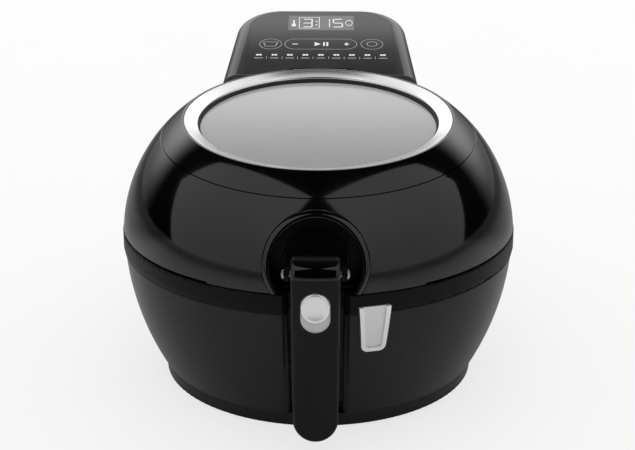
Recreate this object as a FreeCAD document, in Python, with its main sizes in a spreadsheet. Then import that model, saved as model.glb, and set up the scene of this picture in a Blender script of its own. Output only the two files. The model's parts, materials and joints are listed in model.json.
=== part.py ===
import FreeCAD, Part
import math
import os
import re
import Sketcher

# Round hot-air fryer with a stirring pan. Millimetres and degrees, +Z up, front towards -Y.
# Every piece is drawn about the axis of the round body, then moved by body_shift so that the
# origin lies under the middle of the whole object.

Vector = FreeCAD.Vector

SIZES = {
    # round base
    "body_radius": 176.2,
    "seam_height": 137.3,
    "stand_gap": 1.5,
    "plinth_inset": 36.0,
    "plinth_flare": 1.4,
    "plinth_height": 14.0,
    "plinth_wall": 9.0,
    "band_proud": 1.6,
    "band_tall": 18.3,
    "band_chamfer": 0.8,
    "base_arc": 243.7,
    "wall": 3.0,
    "fit_gap": 0.4,
    "side_gap": 0.6,
    "edge_break": 0.8,
    "tail_inset": 4.0,
    "plate_height": 5.0,
    "plate_thick": 2.5,
    "vent_half": 24.0,
    "vent_wide": 4.0,
    "vent_pitch": 9.0,
    "foot_radius": 10.0,
    "foot_bevel": 1.5,
    "screw_share": 0.8,
    "screw_ahead": 42.8,
    "screw_head": 3.0,
    "screw_shank": 1.5,
    "screw_clear": 0.3,
    # lid
    "lid_inset": 0.5,
    "seam_gap": 2.0,
    "front_gap": 0.7,
    "front_gap_angle": 31.0,
    "dome_arc": 140.15,
    "dome_top_inset": 86.2,
    "dome_rise": 121.3,
    "lid_wall": 3.2,
    "lid_tilt": 4.96,
    "ring_rise": 103.4,
    "ring_inset": 57.8,
    "ring_width": 12.6,
    "ring_drop": 3.7,
    "ring_thick": 1.6,
    "ring_skirt": 4.0,
    "crease_drop": 17.4,
    "crease_gap": 0.7,
    "window_depth": 4.4,
    "window_thick": 4.0,
    "gasket_thick": 2.0,
    "shelf_thick": 2.5,
    "shelf_reach": 8.0,
    "shelf_root": 14.0,
    "liner_thick": 2.4,
    "seal_width": 6.0,
    # front collar and the recess behind the handle
    "collar_rise": 23.2,
    "collar_radius": 44.0,
    "collar_band": 6.6,
    "collar_proud": 1.6,
    "recess_inset": 27.2,
    "collar_round": 1.4,
    "notch_half": 28.0,
    "notch_drop": 3.0,
    # handle
    "pivot_proud": 12.8,
    "pivot_rise": 24.7,
    "knuckle_radius": 15.5,
    "handle_hang": 9.0,
    "handle_half": 20.3,
    "handle_taper": 1.7,
    "handle_bottom": 18.8,
    "handle_round": 4.0,
    "handle_pin_radius": 2.5,
    "track_half": 12.1,
    "track_drop": 27.5,
    "track_length": 35.0,
    "track_depth": 2.6,
    "thumb_radius": 11.6,
    "thumb_stretch": 2.4,
    "thumb_proud": 1.6,
    "thumb_travel": 8.0,
    "thumb_ridge": 0.7,
    "thumb_dome": 45.0,
    "thumb_neck": 4.0,
    # channel behind the handle
    "channel_deep_top": 8.2,
    "channel_deep_low": 45.2,
    "channel_half_top": 23.4,
    "channel_half_low": 20.8,
    "channel_round": 6.0,
    # lid release button
    "latch_beside": 1.9,
    "latch_drop": 10.8,
    "latch_tall": 41.5,
    "latch_half_top": 13.6,
    "latch_half_low": 10.6,
    "latch_corner": 6.0,
    "latch_proud": 4.2,
    "latch_rim": 3.6,
    "latch_dish": 1.8,
    "latch_deep": 19.2,
    "latch_travel": 2.5,
    "latch_gap": 0.7,
    "catch_inset": 7.5,
    "catch_thick": 2.5,
    # pan and stirring drive
    "pan_shift": 13.6,
    "pan_inset": 42.2,
    "pan_lean": 22.0,
    "pan_drop": 1.3,
    "pan_deep": 70.0,
    "pan_wall": 2.5,
    "pan_rim": 7.0,
    "pan_corner": 18.0,
    "rivet_radius": 1.5,
    "rivet_apart": 11.0,
    "post_radius": 20.0,
    "post_top_radius": 13.0,
    "post_tall": 34.0,
    "spindle_radius": 7.0,
    "well_clear": 4.5,
    "well_low_clear": 7.0,
    "well_gap": 10.0,
    "well_thick": 1.5,
    "paddle_clear": 2.0,
    "paddle_height": 17.0,
    "paddle_thick": 4.0,
    "paddle_lift": 1.2,
    "hub_radius": 23.0,
    "knob_radius": 11.0,
    "motor_radius": 38.0,
    "motor_gap": 8.0,
    # rear column and control deck
    "column_sunk": 43.2,
    "column_deep": 135.0,
    "column_half_front": 93.0,
    "column_half_rear": 81.5,
    "column_corner": 46.0,
    "cowl_gap": 5.0,
    "lid_rear_gap": 2.5,
    "deck_slope": 13.0,
    "deck_rise": 106.0,
    "deck_shoulder": 14.0,
    "deck_depth": 34.0,
    "deck_lip": 12.0,
    "deck_lip_deep": 16.0,
    "deck_lip_clear": 3.5,
    "lip_notch_half": 28.0,
    "lip_notch_wide": 46.0,
    "fascia_half": 73.0,
    "fascia_half_rear": 70.5,
    "fascia_corner": 34.0,
    "fascia_thick": 2.6,
    "fascia_front": -10.0,
    "fascia_back": 124.0,
    "display_half": 33.0,
    "display_deep": 32.0,
    "display_front": 82.0,
    "board_thick": 1.6,
    "board_drop": 12.0,
    "key_centre": 51.7,
    "key_size": 14.0,
    # hinge, hot air and power
    "hinge_forward": 5.5,
    "hinge_drop": 3.3,
    "hinge_radius": 4.2,
    "hinge_pin_radius": 2.0,
    "lug_inner": 8.0,
    "lug_wide": 9.0,
    "lug_gap": 0.5,
    "bracket_lug": 7.0,
    "outlet_half": 62.0,
    "outlet_tall": 46.0,
    "heater_step": 10.0,
    "fan_inset": 54.0,
    "fan_radius": 32.0,
    "fan_rise": 12.7,
    "fan_height": 30.0,
    "gland_height": 36.0,
    "gland_side": 24.0,
}

# Places that follow from the sizes above
PLACES = {
    "reach": "body_radius + 24",
    "plinth_radius": "body_radius - plinth_inset",
    "band_bottom": "seam_height - band_tall",
    "base_low_radius": "plinth_radius + plinth_flare + side_gap",
    "base_top_radius": "body_radius - band_proud",
    "base_tall": "band_bottom - plinth_height",
    "base_lean": "base_top_radius - base_low_radius",
    "base_chord": "sqrt(base_tall ^ 2 + base_lean ^ 2)",
    "base_arc_depth": "sqrt(base_arc ^ 2 - base_chord ^ 2 / 4)",
    "base_arc_side": "(base_low_radius + base_top_radius) / 2 - base_tall / base_chord * base_arc_depth",
    "base_arc_height": "(plinth_height + band_bottom) / 2 + base_lean / base_chord * base_arc_depth",
    "foot_side": "plinth_radius * 0.6",
    "foot_front": "plinth_radius * 0.556",
    "dome_top_radius": "body_radius - dome_top_inset",
    "dome_top_height": "seam_height + dome_rise",
    "ring_height": "seam_height + ring_rise",
    "ring_radius": "body_radius - ring_inset",
    "ring_inner": "ring_radius - ring_width",
    "window_top": "-ring_drop - window_depth",
    "shelf_top": "window_top - window_thick",
    "lid_low_radius": "body_radius - lid_inset",
    "collar_height": "seam_height + collar_rise",
    "collar_inner": "collar_radius - collar_band",
    "recess_floor": "body_radius - recess_inset",
    "pivot_forward": "body_radius + pivot_proud",
    "pivot_height": "seam_height + pivot_rise",
    "handle_back_forward": "pivot_forward - handle_hang",
    "handle_front": "pivot_forward + knuckle_radius",
    "track_height": "pivot_height - track_drop",
    "channel_floor_top": "body_radius - channel_deep_top",
    "channel_floor_low": "body_radius - channel_deep_low",
    "latch_top": "seam_height - latch_drop",
    "latch_low": "latch_top - latch_tall",
    "latch_inner": "body_radius - latch_deep",
    "catch_forward": "body_radius - catch_inset",
    "latch_turn": "asin((collar_radius + latch_beside) / catch_forward) / 1 deg",
    "pan_radius": "body_radius - pan_inset",
    "pan_low_radius": "pan_radius - pan_lean",
    "pan_outer": "pan_radius + pan_rim",
    "pan_top": "seam_height - pan_drop",
    "pan_floor": "pan_top - pan_deep",
    "post_top": "pan_floor + post_tall",
    "well_radius": "pan_outer + well_clear",
    "well_low_radius": "pan_low_radius + well_low_clear",
    "well_floor": "pan_floor - well_gap",
    "paddle_reach": "pan_low_radius - pan_corner - paddle_clear",
    "motor_top": "well_floor - motor_gap",
    "column_front": "body_radius - column_sunk",
    "column_rear": "column_front + column_deep",
    "body_shift": "(handle_front + thumb_proud - column_rear) / 2",
    "cowl_front": "column_front - cowl_gap",
    "lid_rear": "cowl_front - lid_rear_gap",
    "deck_height": "seam_height + deck_rise",
    "hinge_back": "column_front - hinge_forward",
    "hinge_height": "deck_height - hinge_drop",
    "fan_centre": "column_rear - fan_inset",
    "fan_low": "seam_height + fan_rise",
    "tail_start": "plinth_radius - 50",
    "plate_top": "plate_height + plate_thick",
    "thumb_long": "2 * thumb_radius + thumb_stretch",
    "thumb_mid": "track_height + track_length / 2 - side_gap - thumb_long / 2",
    "thumb_back": "handle_front - track_depth + 1.5",
}

doc = FreeCAD.newDocument("fryer")
sheet = doc.addObject("Spreadsheet::Sheet", "Sizes")
WORDS = {**SIZES, **{alias: "=" + rule for alias, rule in PLACES.items()}}
for row, (alias, content) in enumerate(WORDS.items(), start=1):
    sheet.set("A%d" % row, alias)
    sheet.set("B%d" % row, str(content))
    sheet.setAlias("B%d" % row, alias)
doc.recompute()

WORD = re.compile(r"[a-z]+(?:_[a-z]+)*")
NODES = []
RIVETS = ("-rivet_apart", "rivet_apart")


def cells(text):
    """An expression on the sheet's words, as another object of the document reads it."""
    def address(found):
        word = found.group()
        return "Sizes." + word if word in WORDS else word

    return WORD.sub(address, str(text))


def value(text):
    """The number an expression on the sheet's words has now."""
    return float(sheet.evalExpression(str(text)))


def bind(item, prop, text):
    item.setExpression(prop, cells(text))


def move(item, x=0, y=0, z=0, axis=None, turn=0):
    """Place an item at (x, y, z), turned by an angle about a fixed axis."""
    if axis is not None:
        item.Placement = FreeCAD.Placement(Vector(), FreeCAD.Rotation(Vector(*axis), 1.0))
        bind(item, ".Placement.Rotation.Angle", turn)
    bind(item, ".Placement.Base.x", x)
    bind(item, ".Placement.Base.y", y)
    bind(item, ".Placement.Base.z", z)
    return item


def carried(item):
    """A primitive already stands somewhere, so it is wrapped before it is placed as a whole."""
    if item.TypeId in ("Part::Box", "Part::Cylinder"):
        return group(item)
    return item


def node(item, label, x=0, y=0, z=0, axis=None, turn=0):
    """Name a finished sub-part and place it in the shared frame."""
    item = carried(item)
    item.Label = label
    NODES.append(move(item, x, "body_shift + %s" % y, z, axis, turn))
    return item


def lid_plane(item):
    """Put an item drawn flat on the tilted plane of the lid's bright ring."""
    return move(carried(item), 0, "-pan_shift", "ring_height", (1, 0, 0), "lid_tilt")


def lid_node(item, label):
    return node(item, label, 0, "(-pan_shift)", "ring_height", (1, 0, 0), "lid_tilt")


def deck_plane(item):
    """Put an item drawn flat on the sloping plane of the control deck."""
    return move(carried(item), 0, "column_front", "deck_height", (1, 0, 0), "deck_slope")


def deck_node(item, label):
    return node(item, label, 0, "column_front", "deck_height", (1, 0, 0), "deck_slope")


def latch_node(item, label):
    return node(item, label, axis=(0, 0, 1), turn="latch_turn")


def arc_between(start, end, radius):
    """Arc from start to end; a positive radius keeps its centre on the left."""
    span = math.hypot(end[0] - start[0], end[1] - start[1])
    side = 1 if radius > 0 else -1
    rise = side * math.sqrt(max(radius * radius - span * span / 4, 0))
    centre_x = (start[0] + end[0]) / 2 - (end[1] - start[1]) / span * rise
    centre_y = (start[1] + end[1]) / 2 + (end[0] - start[0]) / span * rise
    first = math.atan2(start[1] - centre_y, start[0] - centre_x)
    last = math.atan2(end[1] - centre_y, end[0] - centre_x)
    circle = Part.Circle(Vector(centre_x, centre_y, 0), Vector(0, 0, 1), abs(radius))
    if side > 0:
        return Part.ArcOfCircle(circle, first, last), (1, 2)
    return Part.ArcOfCircle(circle, last, first), (2, 1)


def hold(sketch, kind, place, text, name):
    """One driven dimension of a sketch; a zero is held on the axis instead."""
    size = value(text)
    if abs(size) < 1e-9 and kind != "Radius":
        axis = -2 if kind == "DistanceX" else -1
        sketch.addConstraint(Sketcher.Constraint("PointOnObject", place[0], place[1], axis))
        return
    if kind == "Radius":
        index = sketch.addConstraint(Sketcher.Constraint(kind, place[0], abs(size)))
        text = text if size > 0 else "-(%s)" % text
    else:
        index = sketch.addConstraint(Sketcher.Constraint(kind, place[0], place[1], size))
    sketch.renameConstraint(index, name)
    bind(sketch, "Constraints." + name, text)


def new_sketch(body, plane, offset=0):
    sketch = body.newObject("Sketcher::SketchObject", "Profile")
    origin = [item for item in body.Origin.OriginFeatures if item.Role == plane][0]
    sketch.AttachmentSupport = [(origin, "")]
    sketch.MapMode = "FlatFace"
    bind(sketch, "AttachmentOffset.Base.z", offset)
    return sketch


def draw(sketch, points):
    """Closed outline of (x, y) points; a third value is the radius of the arc arriving there."""
    spots = [(value(point[0]), value(point[1])) for point in points]
    count = len(points)
    first = sketch.GeometryCount
    ends = []
    for index in range(count):
        following = (index + 1) % count
        if len(points[following]) == 3:
            shape, order = arc_between(spots[index], spots[following], value(points[following][2]))
        else:
            shape = Part.LineSegment(Vector(*spots[index], 0), Vector(*spots[following], 0))
            order = (1, 2)
        sketch.addGeometry(shape, False)
        ends.append(order)
    for index in range(count):
        following = (index + 1) % count
        sketch.addConstraint(Sketcher.Constraint(
            "Coincident", first + index, ends[index][1], first + following, ends[following][0]))
    for index in range(count):
        tag = "%d" % (first + index)
        place = (first + index, ends[index][0])
        hold(sketch, "DistanceX", place, points[index][0], "x" + tag)
        hold(sketch, "DistanceY", place, points[index][1], "y" + tag)
        following = points[(index + 1) % count]
        if len(following) == 3:
            hold(sketch, "Radius", place, following[2], "r" + tag)


def mirrored(points):
    """An outline from its right-hand half, listed from the bottom up."""
    left = []
    for index in range(len(points) - 1, -1, -1):
        x, y = points[index][0], points[index][1]
        if value(x) == 0:
            continue
        arriving = points[index + 1] if index + 1 < len(points) else ()
        left.append(("-(%s)" % x, y) + tuple(arriving[2:]))
    first = points[0]
    if value(first[0]) == 0:
        first = first[:2] + tuple(points[1][2:])
    return [first] + points[1:] + left


def new_body(name):
    return doc.addObject("PartDesign::Body", name)


def revolved(name, points, angle=360):
    """Body turned about Z from an outline of (radius, height) points."""
    body = new_body(name)
    sketch = new_sketch(body, "XZ_Plane")
    draw(sketch, points)
    turn = body.newObject("PartDesign::Revolution", "Turn")
    turn.Profile = sketch
    turn.ReferenceAxis = (sketch, ["V_Axis"])
    turn.Angle = angle
    return body


def padded(name, plane, points, start, end):
    """Body from an outline pushed from start to end along the plane's normal."""
    body = new_body(name)
    add_pad(body, plane, points, start, end)
    return body


def add_pad(body, plane, points, start, end):
    sketch = new_sketch(body, plane, start)
    draw(sketch, points)
    pad = body.newObject("PartDesign::Pad", "Pad")
    pad.Profile = sketch
    bind(pad, "Length", "(%s) - (%s)" % (end, start))
    return pad


def add_pocket(body, plane, points, start, end):
    """Cut an outline out of a body between two heights along the plane's normal."""
    sketch = new_sketch(body, plane, end)
    draw(sketch, points)
    pocket = body.newObject("PartDesign::Pocket", "Pocket")
    pocket.Profile = sketch
    bind(pocket, "Length", "(%s) - (%s)" % (end, start))
    return pocket


def lofted(name, plane, sections, straight=True):
    """Body through outlines given as (offset, points)."""
    body = new_body(name)
    sketches = []
    for offset, points in sections:
        sketch = new_sketch(body, plane, offset)
        draw(sketch, points)
        sketches.append(sketch)
    loft = body.newObject("PartDesign::AdditiveLoft", "Loft")
    loft.Profile = sketches[0]
    loft.Sections = sketches[1:]
    loft.Ruled = straight
    return body


def box(x, y, z, length, width, height):
    """Block from its low corner and its three sizes."""
    item = doc.addObject("Part::Box", "Block")
    bind(item, "Length", length)
    bind(item, "Width", width)
    bind(item, "Height", height)
    return move(item, x, y, z)


def middle_box(half, y, z, width, height):
    """Block centred on X."""
    return box("-(%s)" % half, y, z, "2 * (%s)" % half, width, height)


def cylinder(x, y, z, radius, height, axis=None, turn=0):
    item = doc.addObject("Part::Cylinder", "Round")
    bind(item, "Radius", radius)
    bind(item, "Height", height)
    return move(item, x, y, z, axis, turn)


def rod(x, y, z, radius, length):
    """Round bar along X."""
    return cylinder(x, y, z, radius, length, (0, 1, 0), 90)


def cut(base, *tools):
    for tool in tools:
        item = doc.addObject("Part::Cut", "Cut")
        item.Base = base
        item.Tool = tool
        base = item
    return base


def fuse(*shapes):
    item = doc.addObject("Part::MultiFuse", "Fuse")
    item.Shapes = list(shapes)
    return item


def common(*shapes):
    item = doc.addObject("Part::MultiCommon", "Common")
    item.Shapes = list(shapes)
    return item


def group(*shapes):
    item = doc.addObject("Part::Compound", "Group")
    item.Links = list(shapes)
    return item


def rounded(base, radius, chosen):
    """Round the edges that the test picks."""
    doc.recompute()
    size = value(radius)
    picks = [index for index, edge in enumerate(base.Shape.Edges, start=1) if chosen(edge)]
    item = doc.addObject("Part::Fillet", "Fillet")
    item.Base = base
    item.Edges = [(index, size, size) for index in picks]
    return item


def coil(radius, wire, length, turns):
    """Wire spring along Z."""
    spine = doc.addObject("Part::Helix", "Spine")
    bind(spine, "Radius", radius)
    bind(spine, "Height", length)
    bind(spine, "Pitch", "(%s) / (%s)" % (length, turns))
    section = doc.addObject("Part::Circle", "Wire")
    bind(section, "Radius", wire)
    move(section, radius, 0, 0, (1, 0, 0), 90)
    item = doc.addObject("Part::Sweep", "Coil")
    item.Sections = [section]
    item.Spine = (spine, [])
    item.Solid = True
    item.Frenet = True
    return item


def screw(head, seat, tip):
    """Screw pointing up: underside of its head, the seat of the head and the end of its shank."""
    return revolved("Screw", [
        (0, head),
        ("screw_head", head),
        ("screw_head", seat),
        ("screw_shank", seat),
        ("screw_shank", tip),
        (0, tip),
    ])


def rectangle(half, low, high):
    return mirrored([(half, low), (half, high)])


# Solids of the outside shape, used again as cutting shapes

def base_solid(grow):
    """The base below the band, grown or shrunk sideways."""
    return revolved("BaseShape", [
        (0, "plinth_height"),
        ("base_low_radius + (%s)" % grow, "plinth_height"),
        ("base_top_radius + (%s)" % grow, "band_bottom", "base_arc"),
        (0, "band_bottom"),
    ])


def dome_solid(grow, low="seam_height"):
    """The lid's dome, grown or shrunk along its normal."""
    return revolved("DomeShape", [
        (0, low),
        ("lid_low_radius + (%s)" % grow, low),
        ("lid_low_radius + (%s)" % grow, "seam_height + 0.01"),
        ("dome_top_radius", "dome_top_height + (%s) * 1.086" % grow, "dome_arc + (%s)" % grow),
        (0, "dome_top_height + (%s)" % grow),
    ])


def column_outline(inset, front="column_front"):
    """Plan of the rear column: sides that close in and round corners that run into them."""
    lean = "((column_half_front - column_half_rear) / (column_rear - column_front))"
    steep = "sqrt(1 + %s * %s)" % (lean, lean)
    corner = "(column_corner - (%s))" % inset
    rear = "(column_rear - (%s))" % inset
    reach = "(%s * (%s - %s))" % (corner, steep, lean)
    meet = "(column_half_front - (%s) - %s * (%s - column_front))" % (inset, lean, rear)
    return mirrored([
        ("column_half_front - (%s) - %s * (%s - column_front)" % (inset, lean, front), front),
        ("%s + %s * %s / %s" % (meet, reach, lean, steep), "%s - %s / %s" % (rear, reach, steep)),
        ("%s - %s" % (meet, reach), rear, corner),
    ])


def above_deck(lift):
    """Everything above a plane parallel with the deck."""
    slab = middle_box(160, -60, lift, 300, 120)
    return deck_plane(slab)


def behind(y):
    return middle_box(300, y, -50, 300, 500)


def ahead(y):
    return middle_box(300, "(%s) - 600" % y, -50, 600, 500)


def below(z):
    return middle_box(300, -300, "(%s) - 300" % z, 600, 300)


def channel(grow):
    """Trough in the front of the base that the handle hangs in."""
    sections = []
    levels = (
        ("plinth_height - 12", "channel_floor_low", "channel_half_low"),
        ("seam_height + 8", "channel_floor_top", "channel_half_top"),
    )
    for height, floor, half in levels:
        deep = "-(%s) + (%s)" % (floor, grow)
        wide = "%s + (%s)" % (half, grow)
        sections.append((height, mirrored([(wide, "-reach"), (wide, deep)])))
    return lofted("Trough", "XY_Plane", sections)


def lips(skin, heights):
    """Cutter that rounds both edges of the trough where they meet a skin of the given radius."""
    low = "(plinth_height - 12)"
    high = "(seam_height + 8)"
    sections = []
    for height in heights:
        share = "((%s) - %s) / (%s - %s)" % (height, low, high, low)
        half = "(channel_half_low + (channel_half_top - channel_half_low) * %s)" % share
        wide = "(%s + channel_round)" % half
        radius = "(%s)" % skin.replace("HEIGHT", "(%s)" % height)
        front = "-sqrt(%s * %s - %s * %s)" % (radius, radius, wide, wide)
        sections.append((height, mirrored([
            (wide, "-reach"),
            (wide, front),
            (half, front + " + channel_round", "-channel_round"),
            (half, front + " + channel_round + 2"),
        ])))
    return lofted("Lips", "XY_Plane", sections, len(sections) == 2)


def latch_outline(grow):
    """Front view of the release button."""
    low = "latch_half_low + (%s)" % grow
    bottom = "latch_low - (%s)" % grow
    corner = "latch_corner + (%s)" % grow
    return mirrored([
        ("%s - (%s)" % (low, corner), bottom),
        (low, "%s + (%s)" % (bottom, corner), corner),
        ("latch_half_top + (%s)" % grow, "latch_top + (%s)" % grow),
    ])


def latch_turned(item):
    return move(carried(item), axis=(0, 0, 1), turn="latch_turn")


def make_base():
    disc = revolved("PlinthDisc", [
        (0, "stand_gap"),
        ("plinth_radius - edge_break", "stand_gap"),
        ("plinth_radius", "stand_gap + edge_break"),
        ("plinth_radius + plinth_flare", "plinth_height"),
        (0, "plinth_height"),
    ])
    tail_outline = column_outline("tail_inset", "tail_start")
    tail = padded("PlinthTail", "XY_Plane", tail_outline, "stand_gap", "plinth_height")
    disc_hole = cylinder(0, 0, 0, "plinth_radius - plinth_wall", "plinth_height + 5")
    tail_room = column_outline("tail_inset + plinth_wall", "tail_start")
    tail_hole = padded("TailHole", "XY_Plane", tail_room, -1, "plinth_height + 4")
    node(cut(fuse(disc, tail), fuse(disc_hole, tail_hole)), "plinth")

    inset = "plinth_wall + fit_gap"
    plate_disc = cylinder(0, 0, "plate_height", "plinth_radius - (%s)" % inset, "plate_thick")
    plate_outline = column_outline("tail_inset + " + inset, "tail_start")
    plate_tail = padded("PlateTail", "XY_Plane", plate_outline, "plate_height", "plate_top")
    vents = []
    for index in range(6):
        row = "column_front + 17 + %d * vent_pitch" % index
        vents.append(middle_box("vent_half", row, 0, "vent_wide", 20))
    rear_side = "(column_half_rear - 2.35 * foot_radius)"
    spots = [
        ("-foot_side", "-foot_front"), ("foot_side", "-foot_front"),
        ("-" + rear_side, "fan_centre"), (rear_side, "fan_centre"),
    ]
    screw_rows = ["-foot_front * screw_share"] * 2 + ["fan_centre - screw_ahead"] * 2
    screw_spots = [("%s * screw_share" % spot[0], row) for spot, row in zip(spots, screw_rows)]
    holes = [cylinder(x, y, 0, "screw_shank + screw_clear", 20) for x, y in screw_spots]
    node(cut(fuse(plate_disc, plate_tail), fuse(*vents, *holes)), "bottom_plate")
    feet = []
    for x, y in spots:
        foot = revolved("Foot", [
            (0, 0), ("foot_radius - foot_bevel", 0), ("foot_radius", "foot_bevel"),
            ("foot_radius", "plate_height"), (0, "plate_height"),
        ])
        feet.append(move(foot, x, y, 0))
    screws = [move(screw("plate_height - 2", "plate_height", 12), x, y, 0) for x, y in screw_spots]
    node(group(*feet), "rubber_feet")
    node(group(*screws), "bottom_screws")

    room = cut(common(base_solid("-wall"), below("band_bottom - wall")), channel("wall"))
    well_hole = cylinder(0, "-pan_shift", "band_bottom - wall - 2", "well_radius + 1", 20)
    well_room = cut(well_hole, channel("wall"))
    shell = cut(base_solid(0), room, well_room)
    button_hole = padded("LatchHole", "XZ_Plane", latch_outline("latch_gap"), "latch_inner - 7", "reach")
    button_hole = latch_turned(button_hole)
    steps = []
    for index in range(5):
        steps.append("plinth_height - 4 + %d / 4 * (band_bottom - plinth_height + 8)" % index)
    edge = lips("base_arc_side + sqrt(base_arc * base_arc - (HEIGHT - base_arc_height) ^ 2)", steps)
    housing = cut(shell, channel(0), edge, button_hole)
    wire_way = middle_box(40, "body_radius - 56", "plinth_height + 6", 60, 60)
    floor_hole = cylinder(0, 0, 0, "plinth_radius - 40", "plinth_height + 26")
    node(cut(housing, wire_way, floor_hole), "base_housing")

    band = revolved("BandShape", [
        (0, "band_bottom"),
        ("body_radius - 1.2", "band_bottom"),
        ("body_radius", "band_bottom + 4"),
        ("body_radius", "seam_height - band_chamfer"),
        ("body_radius - band_chamfer", "seam_height"),
        (0, "seam_height"),
    ])
    hollow_tall = "seam_height - wall - band_bottom + 5"
    hollow = cylinder(0, 0, "band_bottom - 5", "body_radius - wall - 1.2", hollow_tall)
    kept = fuse(
        cylinder(0, "-pan_shift", 0, "well_radius + fit_gap + wall", 300),
        middle_box(40, -250, 0, 120, 300),
        latch_turned(middle_box(18, -250, 0, 120, 300)),
    )
    hole = cylinder(0, "-pan_shift", 0, "well_radius + fit_gap", 300)
    catch_slot = latch_turned(middle_box(7.5, "-body_radius + wall + 1", "band_bottom - 19", 17, 60))
    hook_slot = middle_box(
        "latch_half_top + latch_gap", "-latch_inner - 43", "latch_low", 70, "latch_tall + latch_gap")
    hook_slot = latch_turned(hook_slot)
    edge = lips("body_radius", ["band_bottom - 5", "seam_height + 5"])
    node(cut(band, cut(hollow, kept), hole, channel(0), edge, catch_slot, hook_slot), "rim_band")


def make_pan():
    well = revolved("Well", [
        (26, "well_floor"),
        ("well_low_radius", "well_floor"),
        ("well_radius - 6", "pan_top - 6"),
        ("well_radius", "pan_top - 6"),
        ("well_radius", "seam_height - 0.5"),
        ("well_radius - well_thick", "seam_height - 0.5"),
        ("well_radius - well_thick", "pan_top - 6 + well_thick"),
        ("well_radius - 6 - well_thick", "pan_top - 6 + well_thick"),
        ("well_low_radius - well_thick", "well_floor + well_thick"),
        (26, "well_floor + well_thick"),
    ])
    node(well, "pan_well", 0, "(-pan_shift)")

    pan = revolved("Pan", [
        ("spindle_radius + fit_gap + 1", "pan_floor - pan_wall"),
        ("pan_low_radius + pan_wall - pan_corner", "pan_floor - pan_wall"),
        ("pan_low_radius + pan_wall", "pan_floor - pan_wall + pan_corner", "pan_corner + pan_wall"),
        ("pan_radius + pan_wall", "pan_top - pan_wall"),
        ("pan_outer", "pan_top - pan_wall"),
        ("pan_outer", "pan_top"),
        ("pan_radius", "pan_top"),
        ("pan_low_radius", "pan_floor + pan_corner"),
        ("pan_low_radius - pan_corner", "pan_floor", "-pan_corner"),
        ("post_radius", "pan_floor"),
        ("post_top_radius", "post_top"),
        ("spindle_radius + fit_gap + 1", "post_top"),
    ])
    node(pan, "pan", 0, "(-pan_shift)")

    half = "(notch_half - edge_break)"
    plate = padded("Plate", "XZ_Plane", mirrored([
        (half, "seam_height + 2"),
        (half, "collar_height - notch_drop"),
        (0, "collar_height - notch_drop + " + half, half),
    ]), "recess_floor - 3", "recess_floor + 0.6")
    front = "(pan_shift + pan_outer)"
    arm = middle_box(19, "-(%s) - 4" % front, "seam_height + 2", 10, 5)
    tab = middle_box(17, "-(%s) + 0.6" % front, "pan_top", 5.6, "seam_height + 3 - pan_top")
    ears = []
    for side in ("handle_half + 0.8", "-handle_half - 4.8"):
        ear = padded("Ear", "YZ_Plane", [
            ("-recess_floor", "pivot_height - 14"),
            ("-pivot_forward", "pivot_height - 6"),
            ("-pivot_forward - 6", "pivot_height", -6),
            ("-pivot_forward", "pivot_height + 6", -6),
            ("-recess_floor", "pivot_height"),
        ], side, "%s + 4" % side)
        ears.append(ear)
    bore = rod(-60, "-pivot_forward", "pivot_height", "handle_pin_radius + 0.05", 120)
    rivet_row = "-(%s) + 2.2" % front
    rivet_holes = [cylinder(x, rivet_row, "pan_top - 5", "rivet_radius", 30) for x in RIVETS]
    node(cut(fuse(plate, arm, tab, *ears), bore, *rivet_holes), "pan_bracket")
    rivets = []
    for x in RIVETS:
        rivet = revolved("Rivet", [
            (0, "pan_top"),
            ("rivet_radius", "pan_top"),
            ("rivet_radius", "seam_height + 7"),
            (2.6, "seam_height + 7"),
            (1.8, "seam_height + 8.4"),
            (0, "seam_height + 8.4"),
        ])
        rivets.append(move(rivet, x, rivet_row, 0))
    node(group(*rivets), "bracket_rivets")

    spindle = revolved("Spindle", [
        (0, "motor_top + 0.3"),
        (5, "motor_top + 0.3"),
        (5, "pan_floor - 8"),
        ("spindle_radius", "pan_floor - 6"),
        ("spindle_radius", "post_top + 6"),
        ("spindle_radius - 1", "post_top + 7"),
        (0, "post_top + 7"),
    ])
    node(spindle, "drive_spindle", 0, "(-pan_shift)")
    seal = revolved("Seal", [
        ("spindle_radius + 0.5", "well_floor + well_thick"),
        (29, "well_floor + well_thick"),
        (29, "well_floor + well_thick + 2"),
        ("spindle_radius + 4", "well_floor + well_thick + 3.4"),
        ("spindle_radius + 0.5", "well_floor + well_thick + 3.4"),
    ])
    node(seal, "spindle_seal", 0, "(-pan_shift)")
    motor = revolved("Motor", [
        (0, 16), ("motor_radius", 16), ("motor_radius", "motor_top - 4"),
        ("motor_radius - 3", "motor_top"), (0, "motor_top"),
    ])
    flange = middle_box(58, -18, "well_floor - 3", 36, 3)
    legs = [cylinder(x, 0, 20, 4, "well_floor - 22") for x in (-48, 48)]
    bars = [middle_box(52, -6, 22, 12, 8)]
    body = cut(fuse(motor, flange, *legs, *bars), cylinder(0, 0, "motor_top", 12, 20))
    node(body, "gear_motor", 0, "(-pan_shift)")
    node(revolved("Probe", [
        (0, "well_floor - 8"), (7, "well_floor - 8"), (7, "well_floor - 2"),
        (9, "well_floor - 2"), (9, "well_floor"), (0, "well_floor"),
    ]), "heat_probe", 74, "(-pan_shift)")


def blade(turn):
    """One curved sweeping blade of the paddle."""
    low = "pan_floor + paddle_lift"
    points = [
        ("hub_radius - 5", "-paddle_thick / 2"),
        ("paddle_reach * 0.6", "-paddle_thick / 2"),
        ("paddle_reach", "-0.28 * paddle_reach", -90),
        ("paddle_reach - 1", "-0.28 * paddle_reach + paddle_thick"),
        ("paddle_reach * 0.6", "paddle_thick / 2", "90 + paddle_thick"),
        ("hub_radius - 5", "paddle_thick / 2"),
    ]
    body = padded("Blade", "XY_Plane", points, low, low + " + paddle_height")
    return move(body, axis=(0, 0, 1), turn=turn)


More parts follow.
